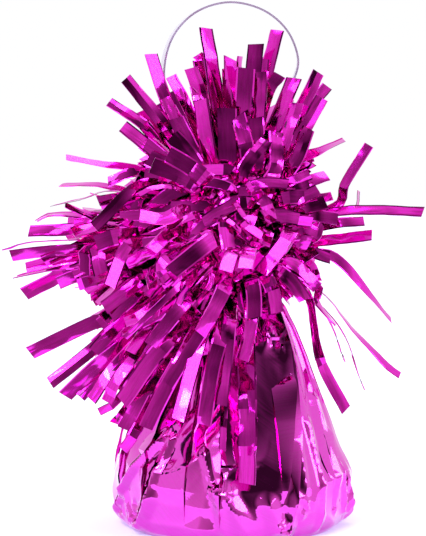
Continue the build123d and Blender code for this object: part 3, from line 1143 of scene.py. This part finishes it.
        laid(16, (8, 6), (240, 205, -9), (252, 172, -15), (257, 120, -16), (260, 72, -16), crimp=0.8),
        laid(15, (4, 24), (242, 205, -9), (282, 108, -13), (294, 78, -13)),
        laid(14, (16, 24), (244, 204, -9), (300, 109, -10), (318, 72, -10), crease=0.4),
        laid(13, (-24, -30), (246, 204, -8), (303, 117, -7), (327, 86, -6)),
        laid(15, (-12, -32), (246, 206, -9), (300, 135, -15), (322, 98, -15), crease=0.4),
        laid(11.5, (-4, -4), (214, 212, -8), (147, 184, -24), (94, 227, -32)),
        laid(10, (34, 50), (212, 210, -5), (147, 172, -5), (102, 164, -5), (66, 157, -5)),
        laid(16, (18, 22), (226, 206, -9), (215, 180, -19), (208, 150, -20), (200, 100, -19), crease=0.1,
             crimp=0.6),
        laid(15, (10, -6), (224, 206, -9), (205, 178, -20), (192, 150, -21), (176, 118, -20), crease=0.1,
             crimp=0.5),
        laid(15, (-8, 6), (236, 206, -9), (246, 180, -20), (247, 150, -22), (238, 116, -20), crease=0.1,
             crimp=1.0),
        laid(15, (-6, 8), (240, 206, -9), (252, 180, -19), (258, 155, -20), (256, 118, -19), crease=0.2,
             crimp=1.0),
        laid(14, (10, 16), (242, 206, -9), (266, 180, -18), (283, 145, -19), (297, 103, -18), crease=0.3,
             crimp=1.0),
        laid(14, (6, 4), (246, 207, -9), (276, 184, -16), (296, 160, -17), (308, 128, -16), crease=0.3,
             crimp=0.8),
        laid(13, (-6, 12), (238, 206, -9), (240, 184, -23), (246, 165, -24), (266, 140, -21), crease=0.2,
             crimp=1.2),
        laid(14, (-6, -18), (242, 207, -9), (264, 186, -22), (276, 168, -23), (276, 132, -19),
             crease=0.2, crimp=1.2),
        laid(11, (6, 0), (226, 206, -9), (234, 174, -26), (222, 169, -28), (199, 170, -32), crease=0.1,
             crimp=0.5),
        laid(13, (0, 26), (240, 208, -9), (272, 174, -22), (270, 185, -26), (266, 199, -27)),
        laid(10, (2, 14), (212, 212, -6), (160, 178, -8), (135, 172, -9), (108, 182, -9)),
    ),
    CROWN_IN: (
        laid(12.7, (-14, 4), (224, 195, -7), (175, 118, -6), (163, 92, -6), (151, 54, -2.5)),
        laid(13, (28, 30), (226, 196, -8), (190, 113, -12), (171, 76, -13)),
        laid(14.5, (-26, 24), (226, 196, -8), (203, 110, -14), (200, 95, -14), (191, 68, -14)),
        laid(12, (16, -32), (228, 194, -8), (206, 74, -8), (197, 55, -8)),
        laid(16, (-24, -42), (230, 195, -8), (214, 79, -11), (206, 28, -10)),
        laid(10, (-4, -26), (231, 195, -8), (227, 88, -12), (227, 68, -12)),
        laid(15.7, (6, 4), (236, 195, -8), (252, 90, -10), (253, 74, -10), (256, 44, -9)),
        laid(14.4, (8, 26), (238, 195, -8), (266, 74, -6), (277, 30, -5), crease=0.15),
        laid(13, (0, 10), (240, 196, -8), (266, 97, -11), (280, 75, -10)),
    ),
}


@dataclass(frozen=True)
class Mop:
    """Strips that come out of the front and lie over each other, so that they hide the neck.

    Places, lengths by column and falls by row are in pixels of the photograph, and depths in millimetres.
    """

    count: int = 64
    middle: Pair = (238.0, 228.0)
    reach: Pair = (64, 58)
    runs: tuple[Pair, ...] = ((170, 60), (225, 105), (265, 70), (300, 44))
    run_shares: Pair = (0.4, 1.0)
    parting: float = 270.0
    left_fall: tuple[Pair, ...] = ((165, 4), (200, 18), (250, 38), (300, 58))
    right_fall: tuple[Pair, ...] = ((165, -50), (200, -14), (240, 10), (290, 48))
    # Spreads of the way and the bend in radians, and of the rolls at root and tip in degrees
    spreads: Pair = (0.22, 0.2)
    roll_spreads: Pair = (14.0, 16.0)
    # Depth in the middle, how much less it is at the rim, and its spread
    depths: Triple = (-26.0, 9.0, 2.0)
    # How far the strip's middle and tip come forward
    forward: Pair = (3.0, 2.0)
    # The roots: the column they gather at and by what share, their depth, the stem's front and rise on it
    root_px: float = 232.0
    root_share: float = 0.35
    root_depth: float = -8.0
    stem_front: float = -9.0
    root_rise: float = 1.6
    widths: Pair = (11.0, 15.0)
    crease: float = 0.1
    crimps: Pair = (0.2, 0.6)

    def flow(self, column: float, row: float) -> float:
        """Which way the strips lie in the picture.

        Args:
            column: the pixel's column.
            row: the pixel's row.

        Returns:
            Radians clockwise from the right.
        """
        if column < self.parting:
            return math.pi - math.radians(along(self.left_fall, row))
        return math.radians(along(self.right_fall, row))

    def strips(
        self, draw: random.Random, tiers: tuple[Tier, ...], camera: PhotoCamera
    ) -> dict[str, list[FrontStrip]]:
        """Lays the strips out in the picture.

        Args:
            draw: the seeded source of chance.
            tiers: the turns of fringe that they can belong to.
            camera: the photograph's camera.

        Returns:
            CAD node name of the turn to its strips.
        """
        strips: dict[str, list[FrontStrip]] = {tier.node: [] for tier in tiers}
        deep, less, spread = self.depths

        def stem_row(height: float) -> float:
            """The picture's row of a height on the stem's front."""
            return camera.pixel(Vector((0.0, self.stem_front * MM, height * MM)))[1]

        for _ in range(self.count):
            share, turn = math.sqrt(draw.random()), draw.uniform(0.0, 2.0 * math.pi)
            column = self.middle[0] + self.reach[0] * share * math.cos(turn)
            row = self.middle[1] + self.reach[1] * share * math.sin(turn)
            depth = deep + less * share * share + draw.uniform(-spread, spread)
            way = self.flow(column, row) + draw.gauss(0.0, self.spreads[0])
            bend = way + draw.gauss(0.0, self.spreads[1])
            half = 0.5 * (draw.uniform(*self.run_shares) * along(self.runs, column))
            middle = (column + half * math.cos(way), row + half * math.sin(way), depth - self.forward[0])
            end = (middle[0] + half * math.cos(bend), middle[1] + half * math.sin(bend))
            tip = (*end, depth - self.forward[1])
            tier = min(tiers, key=lambda t: abs(stem_row(t.low) - row))
            gathered = self.root_px + self.root_share * (column - self.root_px)
            root = (gathered, stem_row(tier.low + self.root_rise), self.root_depth)
            rolls = (draw.gauss(0.0, self.roll_spreads[0]), draw.gauss(0.0, self.roll_spreads[1]))
            line = (root, (column, row, depth), middle, tip)
            width = draw.uniform(*self.widths)
            strips[tier.node].append(FrontStrip(width, rolls, line, self.crease, draw.uniform(*self.crimps)))
        return strips


@dataclass
class Fringe:
    """The turns of cut foil round the neck. Lengths are in millimetres and angles in degrees."""

    camera: PhotoCamera
    wrap: FoilWrap
    mop: Mop = Mop()
    tiers: tuple[Tier, ...] = (
        Tier(SKIRT_LOW, 72.2, (-57, -50.5, -44), 8, 39, 13, 27, bare=True),
        Tier(SKIRT_HIGH, 75.7, (-37.5, -31, -24.5), 9, 39, 13, 25, bare=True),
        Tier(COLLAR_LOW, 79.2, (-18, -11.5, -5), 10, 34.5, 13, 22),
        Tier(COLLAR_HIGH, 82.7, (1.5, 8, 14.5), 11, 34.5, 13, 22),
        Tier(CROWN_OUT, 86.2, (32, 39, 46), 8, 37, 6, 16, slotted=True),
        Tier(CROWN_IN, 89.7, (53, 61, 69), 7, 37, 6, 16, slotted=True),
    )
    # The wound headers, each a little inside its solid
    header_inner: float = 6.2
    header_outer: float = 9.3
    header_height: float = 3.3
    header_inset: float = 0.3
    header_ply: float = 0.35
    plies: int = 44
    root_inset: float = 0.6
    # Room that strips keep from the floor and the bag, and the slot that the loop sways in
    floor_gap: float = 2.0
    bag_gap: float = 0.9
    slot_half: float = 2.2
    slot_floor: float = 93.6
    # The rows: shares of the header's height, shorter on the right and in front, and uneven
    row_shares: Triple = (0.20, 0.50, 0.80)
    lean: float = 0.45
    front_short: float = 0.25
    crown_short: float = 0.40
    row_roll: float = 45.0
    length_wobble: float = 0.13
    elevation_wobble: float = 2.2
    bare_from: float = 285.0
    bare_to: float = 345.0
    tries: int = 6
    # The wrap's own cut edge, which stands from the top of the stem
    edge_radius: float = 5.1
    edge_spread: float = 44.4
    edge_elevation: float = 82.0
    edge_droop: float = 6.0
    edge_length: float = 38.0
    # How a strip is cut and handled
    strip_width: float = 4.0
    width_shares: Pair = (0.9, 1.08)
    slant: float = 0.8
    front_slant: float = 0.5
    cup: float = 0.12
    curl: float = 0.3
    crimps: tuple[float, ...] = (0.1, 0.3, 0.5, 0.8)
    kinks: tuple[int, ...] = (0, 1, 1, 2)
    kink_skew: float = 40.0
    wave: float = 0.2
    wave_step: float = 0.9
    wave_phase: float = 6.0
    roll_of_film: float = 400.0
    # Where along a strip it droops, and half the stretch that this takes
    droop_share: float = 0.45
    droop_half: float = 0.15
    samples: int = 18
    # The photograph's strips: points along each one, and the stretch over which its roll changes
    front_samples: int = 26
    knot_parts: int = 10
    front_roll: Pair = (0.45, 0.95)
    # Where a strip points at the camera, so that its side is shorter than this, it keeps the side before
    end_on: float = 0.45
    # A roll above 0 turns a strip's face against this direction
    up_left: Triple = (0.35, 0.0, -1.0)
    # How far the burst reaches in the picture: degrees anticlockwise from the right, and pixels
    centre_px: Pair = (232.0, 235.0)
    reach: tuple[Pair, ...] = (
        (0, 84), (20, 76), (38, 84), (50, 116), (62, 140), (78, 150), (97, 150),
        (114, 150), (126, 142), (136, 116), (150, 112), (162, 132), (172, 156),
        (184, 168), (194, 166), (205, 146), (213, 156), (222, 186), (238, 192),
        (252, 186), (270, 155), (284, 90), (300, 76), (318, 76), (340, 84),
        (360, 84),
    )
    # A strip that passes the reach is laid again at this share of it, but no shorter than the other share
    inside: float = 0.97
    shortest: float = 0.35
    draw: random.Random = field(default_factory=lambda: random.Random(5))

    def grow(
        self, tier: Tier, root: Vector, heading: Vector, length: float, way: Way, roll: float
    ) -> Strip:
        """Grows one strip from its root: it droops, twists and may kink, within the burst's reach.

        Args:
            tier: its turn of fringe.
            root: where the strip leaves its header, in metres.
            heading: its first direction.
            length: its length in metres.
            way: how loosely it lies.
            roll: how far its outer stretch rolls about its own way.

        Returns:
            The strip.
        """
        state = self.draw.getstate()
        strip = self.unroll(root, heading, tier.droop, length, way, roll)
        most = self.overreach(tier, strip)
        if most > 1.0:
            self.draw.setstate(state)
            length *= max(self.shortest, self.inside / most)
            strip = self.unroll(root, heading, tier.droop, length, way, roll)
        return strip

    def unroll(
        self, root: Vector, heading: Vector, droop: float, length: float, way: Way, roll: float = 0.0
    ) -> Strip:
        """Lays one strip out from its root at a given length.

        Args:
            root: where the strip leaves its header, in metres.
            heading: its first direction.
            droop: how far it bends down on its way.
            length: its length in metres.
            way: how loosely it lies.
            roll: how far its outer stretch rolls about its own way.

        Returns:
            The strip.
        """
        side = Vector((-root.y, root.x, 0.0)).normalized()
        flat = side.copy()
        side.rotate(Quaternion(heading, math.radians(self.draw.gauss(0.0, way.roll))))
        twist = math.radians(self.draw.gauss(0.0, way.twist)) / self.samples
        curl = math.radians(self.draw.gauss(0.0, way.curl)) / self.samples
        kinks = {}
        for _ in range(self.draw.choice(self.kinks)):
            spot = self.draw.randint(self.samples // 2, self.samples - 2)
            turn = math.radians(self.draw.gauss(0.0, way.kink))
            kinks[spot] = (turn, math.radians(self.draw.uniform(-self.kink_skew, self.kink_skew)))
        wave, phase = self.draw.uniform(0.0, self.wave) * MM, self.draw.uniform(0.0, self.wave_phase)
        step = length / (self.samples - 1)
        heading, path, sides, place = heading.normalized(), [], [], root.copy()
        near, far = self.droop_share - self.droop_half, self.droop_share + self.droop_half
        bends = [smooth(near, far, k / self.samples) for k in range(self.samples + 1)]
        for k in range(self.samples):
            face = heading.cross(side).normalized()
            path.append(place + face * (wave * math.sin(phase + k * self.wave_step)))
            sides.append(side.copy())
            turn, skew = kinks.get(k, (0.0, 0.0))
            hinge = (side * math.cos(skew) + heading * math.sin(skew)).normalized()
            bend = Quaternion(hinge, turn + curl)
            sink = Quaternion(flat, math.radians(droop) * (bends[k + 1] - bends[k]))
            for part in (heading, side):
                part.rotate(bend)
                part.rotate(sink)
            side.rotate(Quaternion(heading, twist + math.radians(roll) * (bends[k + 1] - bends[k])))
            side = (side - heading * side.dot(heading)).normalized()
            place = place + heading * step
        width = self.draw.uniform(*self.width_shares) * self.strip_width * MM
        cup = self.draw.gauss(0.0, self.cup) * MM
        slant = self.draw.choice((0.0, self.draw.uniform(-self.slant, self.slant))) * MM
        strip = Strip(path, sides, width, cup, slant)
        self.cut(strip)
        strip.crimp(self.draw, self.draw.choice(self.crimps))
        return strip

    def cut(self, strip: Strip) -> None:
        """Gives a strip its own place on the roll of film and curls its cut edges.

        Args:
            strip: the strip.
        """
        across, run = (self.draw.uniform(0.0, self.roll_of_film) for _ in range(2))
        left, right = (self.draw.uniform(-self.curl, self.curl) * MM for _ in range(2))
        strip.film_start, strip.curls = (across, run), (left, right)

    def place(self, front: FrontStrip) -> Strip:
        """Puts a strip of the photograph in its place.

        Args:
            front: the strip's line, width and rolls.

        Returns:
            The strip.
        """
        knots = [self.camera.place(*spot) for spot in front.line]
        path = even_line(smooth_line(knots, self.knot_parts), self.front_samples)
        eye = self.camera.basis()[0]
        sides: list[Vector] = []
        last = self.front_samples - 1
        for k in range(last, -1, -1):
            heading = (path[min(k + 1, last)] - path[max(k - 1, 0)]).normalized()
            view = (eye - path[k]).normalized()
            side = heading.cross(view)
            if side.length < self.end_on and sides:
                side = sides[-1] - heading * sides[-1].dot(heading)
            else:
                up_left = view.cross(heading).dot(Vector(self.up_left))
                roll = front.rolls[0] + (front.rolls[1] - front.rolls[0]) * smooth(*self.front_roll, k / last)
                side.rotate(Quaternion(heading, math.radians(math.copysign(roll, roll * up_left))))
            sides.append(side.normalized())
        sides.reverse()
        width = front.width_px * self.camera.mm_a_pixel * MM
        slant = self.draw.uniform(-self.front_slant, self.front_slant) * MM
        strip = Strip(path, sides, width, front.crease * MM, slant)
        self.cut(strip)
        strip.crimp(self.draw, front.crimp)
        return strip

    def overreach(self, tier: Tier, strip: Strip) -> float:
        """How far a strip passes the burst's reach in the picture, as a share of that reach.

        Args:
            tier: its turn of fringe.
            strip: the strip.

        Returns:
            The largest share, over 1 where it passes.
        """
        most = 0.0
        for point in strip.path[2:]:
            column, row = self.camera.pixel(point)
            across, rise = column - self.centre_px[0], self.centre_px[1] - row
            angle = math.degrees(math.atan2(rise, across)) % 360.0
            most = max(most, math.hypot(across, rise) / along(self.reach, angle))
            most = max(most, -point.y / (tier.front * MM))
        return most

    def clear(self, strip: Strip) -> bool:
        """Whether a strip stays off the floor and the bag, and out of the slot that the loop sways in.

        Args:
            strip: the strip.

        Returns:
            True if it does.
        """
        half = strip.width / 2.0
        for point, side in zip(strip.path, strip.sides):
            height = point.z / MM
            bag = self.wrap.radius(height) + self.wrap.bulge(math.atan2(point.x, -point.y), height)
            touches = height < self.wrap.neck and math.hypot(point.x, point.y) / MM < bag + self.bag_gap
            if height < self.floor_gap or touches:
                return False
            if height > self.slot_floor and abs(point.y) - half * abs(side.y) < self.slot_half * MM:
                return False
        return True

    def azimuths(self, tier: Tier, phase: int) -> list[float]:
        """Where the strips of one row leave the stem.

        Args:
            tier: the turn of fringe.
            phase: the row's number over all turns.

        Returns:
            Degrees from +X.
        """
        if not tier.slotted:
            step = 360.0 / tier.count
            spread = [(step * (k + phase / 3.0)) % 360.0 for k in range(tier.count)]
            return [a for a in spread if not (tier.bare and self.bare_from < a < self.bare_to)]
        half = self.strip_width / 2.0
        first = math.atan(half / self.header_outer)
        first = math.degrees(first + math.asin(self.slot_half / math.hypot(self.header_outer, half)))
        step = (180.0 - 2.0 * first) / (tier.count - 1)
        shift = 0.5 * (phase % 2)
        behind = [first + step * (k + shift) for k in range(tier.count - phase % 2)]
        return behind + [angle + 180.0 for angle in behind]

    def row_length(self, tier: Tier, turn: float) -> float:
        """Length of a row's strips: long on the left, short on the right and in front.

        Args:
            tier: the turn of fringe.
            turn: the azimuth in radians.

        Returns:
            The length in millimetres. The slotted turns are as long on both sides.
        """
        ahead = max(0.0, -math.sin(turn))
        if tier.slotted:
            return tier.length * (1.0 - self.crown_short * ahead)
        return tier.length * (1.0 - self.lean * math.cos(turn)) * (1.0 - self.front_short * ahead)

    def tier_strips(self, order: int, tier: Tier) -> list[Strip]:
        """Grows the strips of one turn: its even rows, and a loose strip beside each one.

        Args:
            order: the turn's number from below.
            tier: the turn of fringe.

        Returns:
            The strips that clear the bag and the slot.
        """
        strips = []
        for row, row_elevation in enumerate(tier.elevations):
            phase = 3 * order + row
            height = tier.low + self.header_height * self.row_shares[row]
            for k, azimuth in enumerate(self.azimuths(tier, phase)):
                uneven = 1.0 + self.length_wobble * wobble(k, phase)
                elevation = row_elevation + self.elevation_wobble * wobble(k, phase + 2)
                roll = self.row_roll * math.cos(math.radians(azimuth)) * (1.0 + wobble(k, phase + 4)) / 2.0
                for way in (Lay.ROW.value, Lay.LOOSE.value):
                    for _ in range(self.tries):
                        turn = math.radians(azimuth + self.draw.gauss(0.0, way.aside))
                        rise = math.radians(elevation + self.draw.gauss(0.0, way.rise))
                        out, heading = headings(turn, rise)
                        root = out * (self.header_outer - self.root_inset) * MM + UP * height * MM
                        run = self.row_length(tier, turn) * uneven * self.draw.uniform(*way.lengths)
                        strip = self.grow(tier, root, heading, run * MM, way, roll)
                        if self.clear(strip):
                            strips.append(strip)
                            break
        return strips

    def edge(self, material: Material) -> Thing:
        """Makes the wrap's own cut edge: strips that stand from the top of the stem, out of the loop's slot.

        Args:
            material: the film.

        Returns:
            The strips' object.
        """
        mesh = FilmMesh()
        for azimuth in (-self.edge_spread, 0.0, self.edge_spread):
            for side in (90.0, 270.0):
                for way in (Lay.ROW.value, Lay.LOOSE.value, Lay.LOOSE.value):
                    rise = math.radians(self.edge_elevation + self.draw.gauss(0.0, way.rise))
                    out, heading = headings(math.radians(side + azimuth), rise)
                    root = out * self.edge_radius * MM + UP * self.slot_floor * MM
                    run = self.edge_length * self.draw.uniform(*way.lengths) * MM
                    strip = self.unroll(root, heading, self.edge_droop, run, way)
                    if self.clear(strip):
                        mesh.ribbon(strip)
        return mesh.build("foil_wrap_edge", material)

    def header(self, mesh: FilmMesh, tier: Tier) -> None:
        """Adds a turn's wound header: a ring of film folded into plies.

        Args:
            mesh: the mesh to add to.
            tier: the turn of fringe.
        """
        first, count = len(mesh.points), self.plies * 2
        outer, top = self.header_outer - self.header_inset, tier.low + self.header_height
        section = ((self.header_inner, tier.low), (outer, tier.low), (outer, top), (self.header_inner, top))
        for k in range(count):
            angle = 2.0 * math.pi * k / count
            ply = self.header_ply if k % 2 else 0.0
            for corner, (radius, height) in enumerate(section):
                reach = radius - (ply if corner in (1, 2) else 0.0)
                mesh.points.append(Vector((reach * math.cos(angle), reach * math.sin(angle), height)) * MM)
                mesh.film.append((angle * radius, height + corner))
        for k in range(count):
            a, b = first + 4 * k, first + 4 * ((k + 1) % count)
            for corner in range(4):
                following = (corner + 1) % 4
                mesh.faces.append((a + corner, b + corner, b + following, a + following))

    def build(self, material: Material) -> dict[str, Thing]:
        """Makes one object for each turn.

        Args:
            material: the film.

        Returns:
            CAD node name to the object that stands for it.
        """
        mop = self.mop.strips(self.draw, self.tiers, self.camera)
        turns = {}
        for order, tier in enumerate(self.tiers):
            mesh = FilmMesh()
            self.header(mesh, tier)
            strips = self.tier_strips(order, tier)
            placed = [self.place(one) for one in (*FRONT_STRIPS[tier.node], *mop[tier.node])]
            strips += [strip for strip in placed if self.clear(strip)]
            for strip in strips:
                mesh.ribbon(strip)
            turns[tier.node] = mesh.build(f"{tier.node}_strips", material)
        turns["foil_wrap"] = self.edge(material)
        return turns


@dataclass
class HangerStrap:
    """The clear strap loop: it leaves the stem, bulges out to a round top and comes back."""

    # The strap's run in the XZ plane, in millimetres
    run: tuple[Pair, ...] = (
        (-0.6, 95.2), (-5.5, 101.5), (-12, 109.5), (-17, 117), (-19.2, 124.5), (-18.4, 132),
        (-15.2, 138.4), (-9.2, 143.4), (-0.4, 145.6), (8.6, 143.4), (15.2, 137.8), (18.2, 130),
        (16.6, 123.5), (13.2, 116.8), (8.6, 108.6), (4, 101), (0.6, 95.2),
    )
    width: float = 2.9
    thickness: float = 0.55
    parts: int = 6
    across: tuple[float, ...] = (-1.0, -0.9, 0.0, 0.9, 1.0)
    # Degrees that the strap is twisted by, at shares of its length
    twist: tuple[Pair, ...] = (
        (0, 0), (0.16, 10), (0.28, 18), (0.38, 10), (0.46, 0), (0.66, 0), (0.76, -8),
        (1, 0),
    )

    def build(self, material: Material) -> Thing:
        """Makes the strap.

        Args:
            material: the clear plastic.

        Returns:
            The strap's object.
        """
        mesh = FilmMesh(thickness=self.thickness * MM)
        line = smooth_line([Vector((x, 0.0, z)) * MM for x, z in self.run], self.parts)
        sides, last = [], len(line) - 1
        for k in range(len(line)):
            heading = (line[min(k + 1, last)] - line[max(k - 1, 0)]).normalized()
            side = Vector((0.0, 1.0, 0.0))
            side.rotate(Quaternion(heading, math.radians(along(self.twist, k / last))))
            sides.append(side)
        mesh.ribbon(Strip(line, sides, self.width * MM), self.across)
        return mesh.build("hanger_strap", material)


@dataclass(frozen=True)
class SoftBox:
    """A square soft lamp aimed at the middle of the object."""

    name: str
    place: Triple
    size: float
    watts: float
    colour: Triple = (0.80, 0.92, 1.0)
    aim: Triple = (0.0, 0.0, 0.07)

    def build(self) -> Thing:
        """Adds the lamp.

        Returns:
            The lamp's object.
        """
        data = bpy.data.lights.new(self.name, "AREA")
        data.shape = "SQUARE"
        data.size = self.size
        data.energy = self.watts
        data.color = self.colour
        return put(self.name, data, self.place, Vector(self.aim) - Vector(self.place))


def board_mesh(name: str, low: Pair, high: Pair) -> bpy.types.Mesh:
    """A flat rectangle.

    Args:
        name: the mesh's name.
        low: its lower left corner.
        high: its upper right corner.

    Returns:
        The mesh.
    """
    mesh = bpy.data.meshes.new(name)
    corners = ((low[0], low[1]), (high[0], low[1]), (high[0], high[1]), (low[0], high[1]))
    mesh.from_pydata([(x, y, 0.0) for x, y in corners], [], [(0, 1, 2, 3)])
    return mesh


@dataclass(frozen=True)
class Flag:
    """A dark board that faces the object, out of the picture, for the film to mirror."""

    name: str
    place: Triple
    size: Pair
    level: float = 0.03
    aim: Triple = (0.0, 0.0, 0.05)

    def build(self) -> Thing:
        """Hangs the board.

        Returns:
            The board's object.
        """
        half, high = self.size[0] / 2.0, self.size[1] / 2.0
        mesh = board_mesh(self.name, (-half, -high), (half, high))
        material, tree = blank_material("black_flocked_board")
        close_tree(tree, "ShaderNodeEmission", {"Color": WHITE, "Strength": self.level})
        mesh.materials.append(material)
        board = put(self.name, mesh, self.place, Vector(self.aim) - Vector(self.place))
        board.visible_camera = False
        return board


@dataclass
class Studio:
    """A pale floor in a light tent with soft lamps. A dark card and a dark board hang out of the picture."""

    floor_size: Pair = (1.6, 1.2)
    floor_front: float = -0.14
    floor_colour: str = "F4F3F4"
    floor_roughness: float = 0.9
    floor_grain_mm: float = 10.0 / 9.0
    floor_relief: float = 0.05
    # The floor gives a little cool light of its own, as paper lit from below does
    floor_glow: str = "B4CCFF"
    floor_light: float = 0.45
    tent_colour: tuple[float, float, float, float] = (1.0, 1.0, 1.06, 1.0)
    room_colour: str = "FFDDEC"
    opening: float = 0.035
    card_place: Triple = (0.30, -0.9, 0.50)
    card_shape: Pair = (0.85, 1.7)
    card_dark: float = 0.12
    card_radius: float = 1.7
    card_corners: int = 48
    flags: tuple[Flag, ...] = (Flag("left_flag", (-0.56, -0.18, 0.40), (0.22, 0.34)),)
    lamps: tuple[SoftBox, ...] = (
        SoftBox("key_upper_left", (-0.34, -0.56, 0.66), 0.44, 2.9),
        SoftBox("key_middle", (-0.328, -0.541, 0.64), 0.13, 1.2),
        SoftBox("fill_right", (0.72, -0.28, 0.42), 0.32, 1.8),
        SoftBox("top", (0.05, 0.05, 0.92), 0.36, 2.0),
    )

    def floor(self) -> Thing:
        """Lays the floor.

        Returns:
            The floor's object.
        """
        half, back = self.floor_size[0] / 2.0, self.floor_front + self.floor_size[1]
        mesh = board_mesh("paper_floor", (-half, self.floor_front), (half, back))
        material, tree = blank_material("matt_white_paper")
        look = {
            "Base Color": linear(self.floor_colour),
            "Roughness": self.floor_roughness,
            "Normal": bumps(tree, object_noise(tree, self.floor_grain_mm, 2.0), self.floor_relief),
            "Emission Color": linear(self.floor_glow),
            "Emission Strength": self.floor_light,
        }
        close_tree(tree, "ShaderNodeBsdfPrincipled", look)
        mesh.materials.append(material)
        floor = put("paper_floor", mesh)
        return floor

    def card(self) -> Thing:
        """Hangs a round card behind the camera for the film to mirror: dark in the middle, pale at its rim.

        Returns:
            The card's object.
        """
        shape = bmesh.new()
        bmesh.ops.create_circle(shape, cap_ends=True, segments=self.card_corners, radius=self.card_radius)
        mesh = bpy.data.meshes.new("dark_card")
        shape.to_mesh(mesh)
        shape.free()
        material, tree = blank_material("graduated_dark_card")
        place = add_node(tree, "ShaderNodeTexCoord").outputs["Object"]
        away = add_node(tree, "ShaderNodeVectorMath", {0: place}, operation="LENGTH").outputs["Value"]
        shade = {"Value": away, 1: self.card_dark, 2: self.card_radius, 3: self.opening, 4: 1.0}
        level = add_node(tree, "ShaderNodeMapRange", shade).outputs[0]
        tint = two_tones(tree, level, linear(self.room_colour), WHITE)
        close_tree(tree, "ShaderNodeEmission", {"Color": tint, "Strength": level})
        mesh.materials.append(material)
        card = put("dark_card", mesh, self.card_place)
        card.rotation_euler = (math.radians(90.0), 0.0, 0.0)
        card.scale = (*self.card_shape, 1.0)
        card.visible_camera = False
        return card

    def world(self) -> None:
        """Sets the tent: white all round with a touch of blue, which the camera, film and strap all see."""
        world = bpy.data.worlds.new("light_tent")
        bpy.context.scene.world = world
        world.use_nodes = True
        tree = world.node_tree
        tree.nodes.clear()
        tent = add_node(tree, "ShaderNodeBackground", {"Color": self.tent_colour, "Strength": 1.0})
        add_node(tree, "ShaderNodeOutputWorld", {"Surface": tent.outputs[0]})

    def build(self) -> None:
        """Builds the floor, the card, the tent, the board and the lamps."""
        self.floor()
        self.card()
        self.world()
        for thing in (*self.flags, *self.lamps):
            thing.build()
        bpy.context.scene.view_settings.view_transform = "Standard"


def dress_hidden(strap: Material) -> None:
    """Gives the solids inside the bag and the stem their finishes.

    Args:
        strap: the clear strap's finish.
    """
    finishes = {
        # Moulded in a fine-grained tool: satin black with soft highlights
        Slot.CUP: GrainedSolid("black_moulded_polypropylene", "1B1B1D", "242427", 0.45, 0.6, 0.10),
        # Poured and left to set: dull grey with sandy specks
        Slot.FILL: GrainedSolid("grey_cast_cement", "8A857C", "6F6A62", 0.9, 1.2, 0.5),
        # Cut from a rubber tube: dull tan, a little mottled
        Slot.BAND: GrainedSolid("tan_natural_rubber", "A57A45", "8E6535", 0.6, 0.5, 0.15),
    }
    nodes = {
        "ballast_cup": Slot.CUP,
        "ballast_lid": Slot.CUP,
        "ballast_fill": Slot.FILL,
        "neck_band": Slot.BAND,
        "strap_tail": Slot.STRAP,
    }
    built = {slot: finish.build() for slot, finish in finishes.items()} | {Slot.STRAP: strap}
    for node, slot in nodes.items():
        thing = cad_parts[node]
        thing.data.materials.clear()
        thing.data.materials.append(built[slot])
        LOG.info("%s: %s", node, built[slot].name)


def main() -> None:
    """Builds the pieces in order and reports each one."""
    logging.basicConfig(level=logging.INFO, format="%(message)s")
    camera = PhotoCamera()
    camera.build()
    Studio().build()
    # Slit into strips and handled: magenta glints that streak and break up along each strip, over streaks of
    # painted shade
    cut_film = MetallisedFilm().build()
    # Drawn smooth over the cup: broad mirrors of the tent and the card, with a white sheen at the pleats
    drawn_film = MetallisedFilm(
        "drawn_magenta_metallised_polyester",
        colour="E81FCE",
        # faint painted shade in streaks along the film
        streak_shade_colour="DA18B6",
        roughness=0.06,
        rough_patch=0.14,
        coat=1.0,
        coat_ior=1.65,
        crease_height=0.02,
    ).build()
    # Extruded clear: the tent shows through it, and a lilac grey tint with darker clouds is painted shade for
    # its dark edges
    clear = ClearStrap().build()
    dress_hidden(clear)
    wrap = FoilWrap()
    bag = wrap.build(drawn_film)
    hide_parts("foil_wrap")
    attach(bag, Body.WEIGHT.value)
    LOG.info("%s: %d faces", bag.name, len(bag.data.polygons))
    turns = Fringe(camera, wrap).build(cut_film)
    for node, turn in turns.items():
        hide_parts(node)
        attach(turn, Body.WEIGHT.value)
        LOG.info("%s: %d faces", turn.name, len(turn.data.polygons))
    strap = HangerStrap().build(clear)
    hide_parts("hanger_loop")
    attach(strap, Body.LOOP.value)
    LOG.info("%s: %d faces", strap.name, len(strap.data.polygons))


if __name__ == "__main__":
    main()
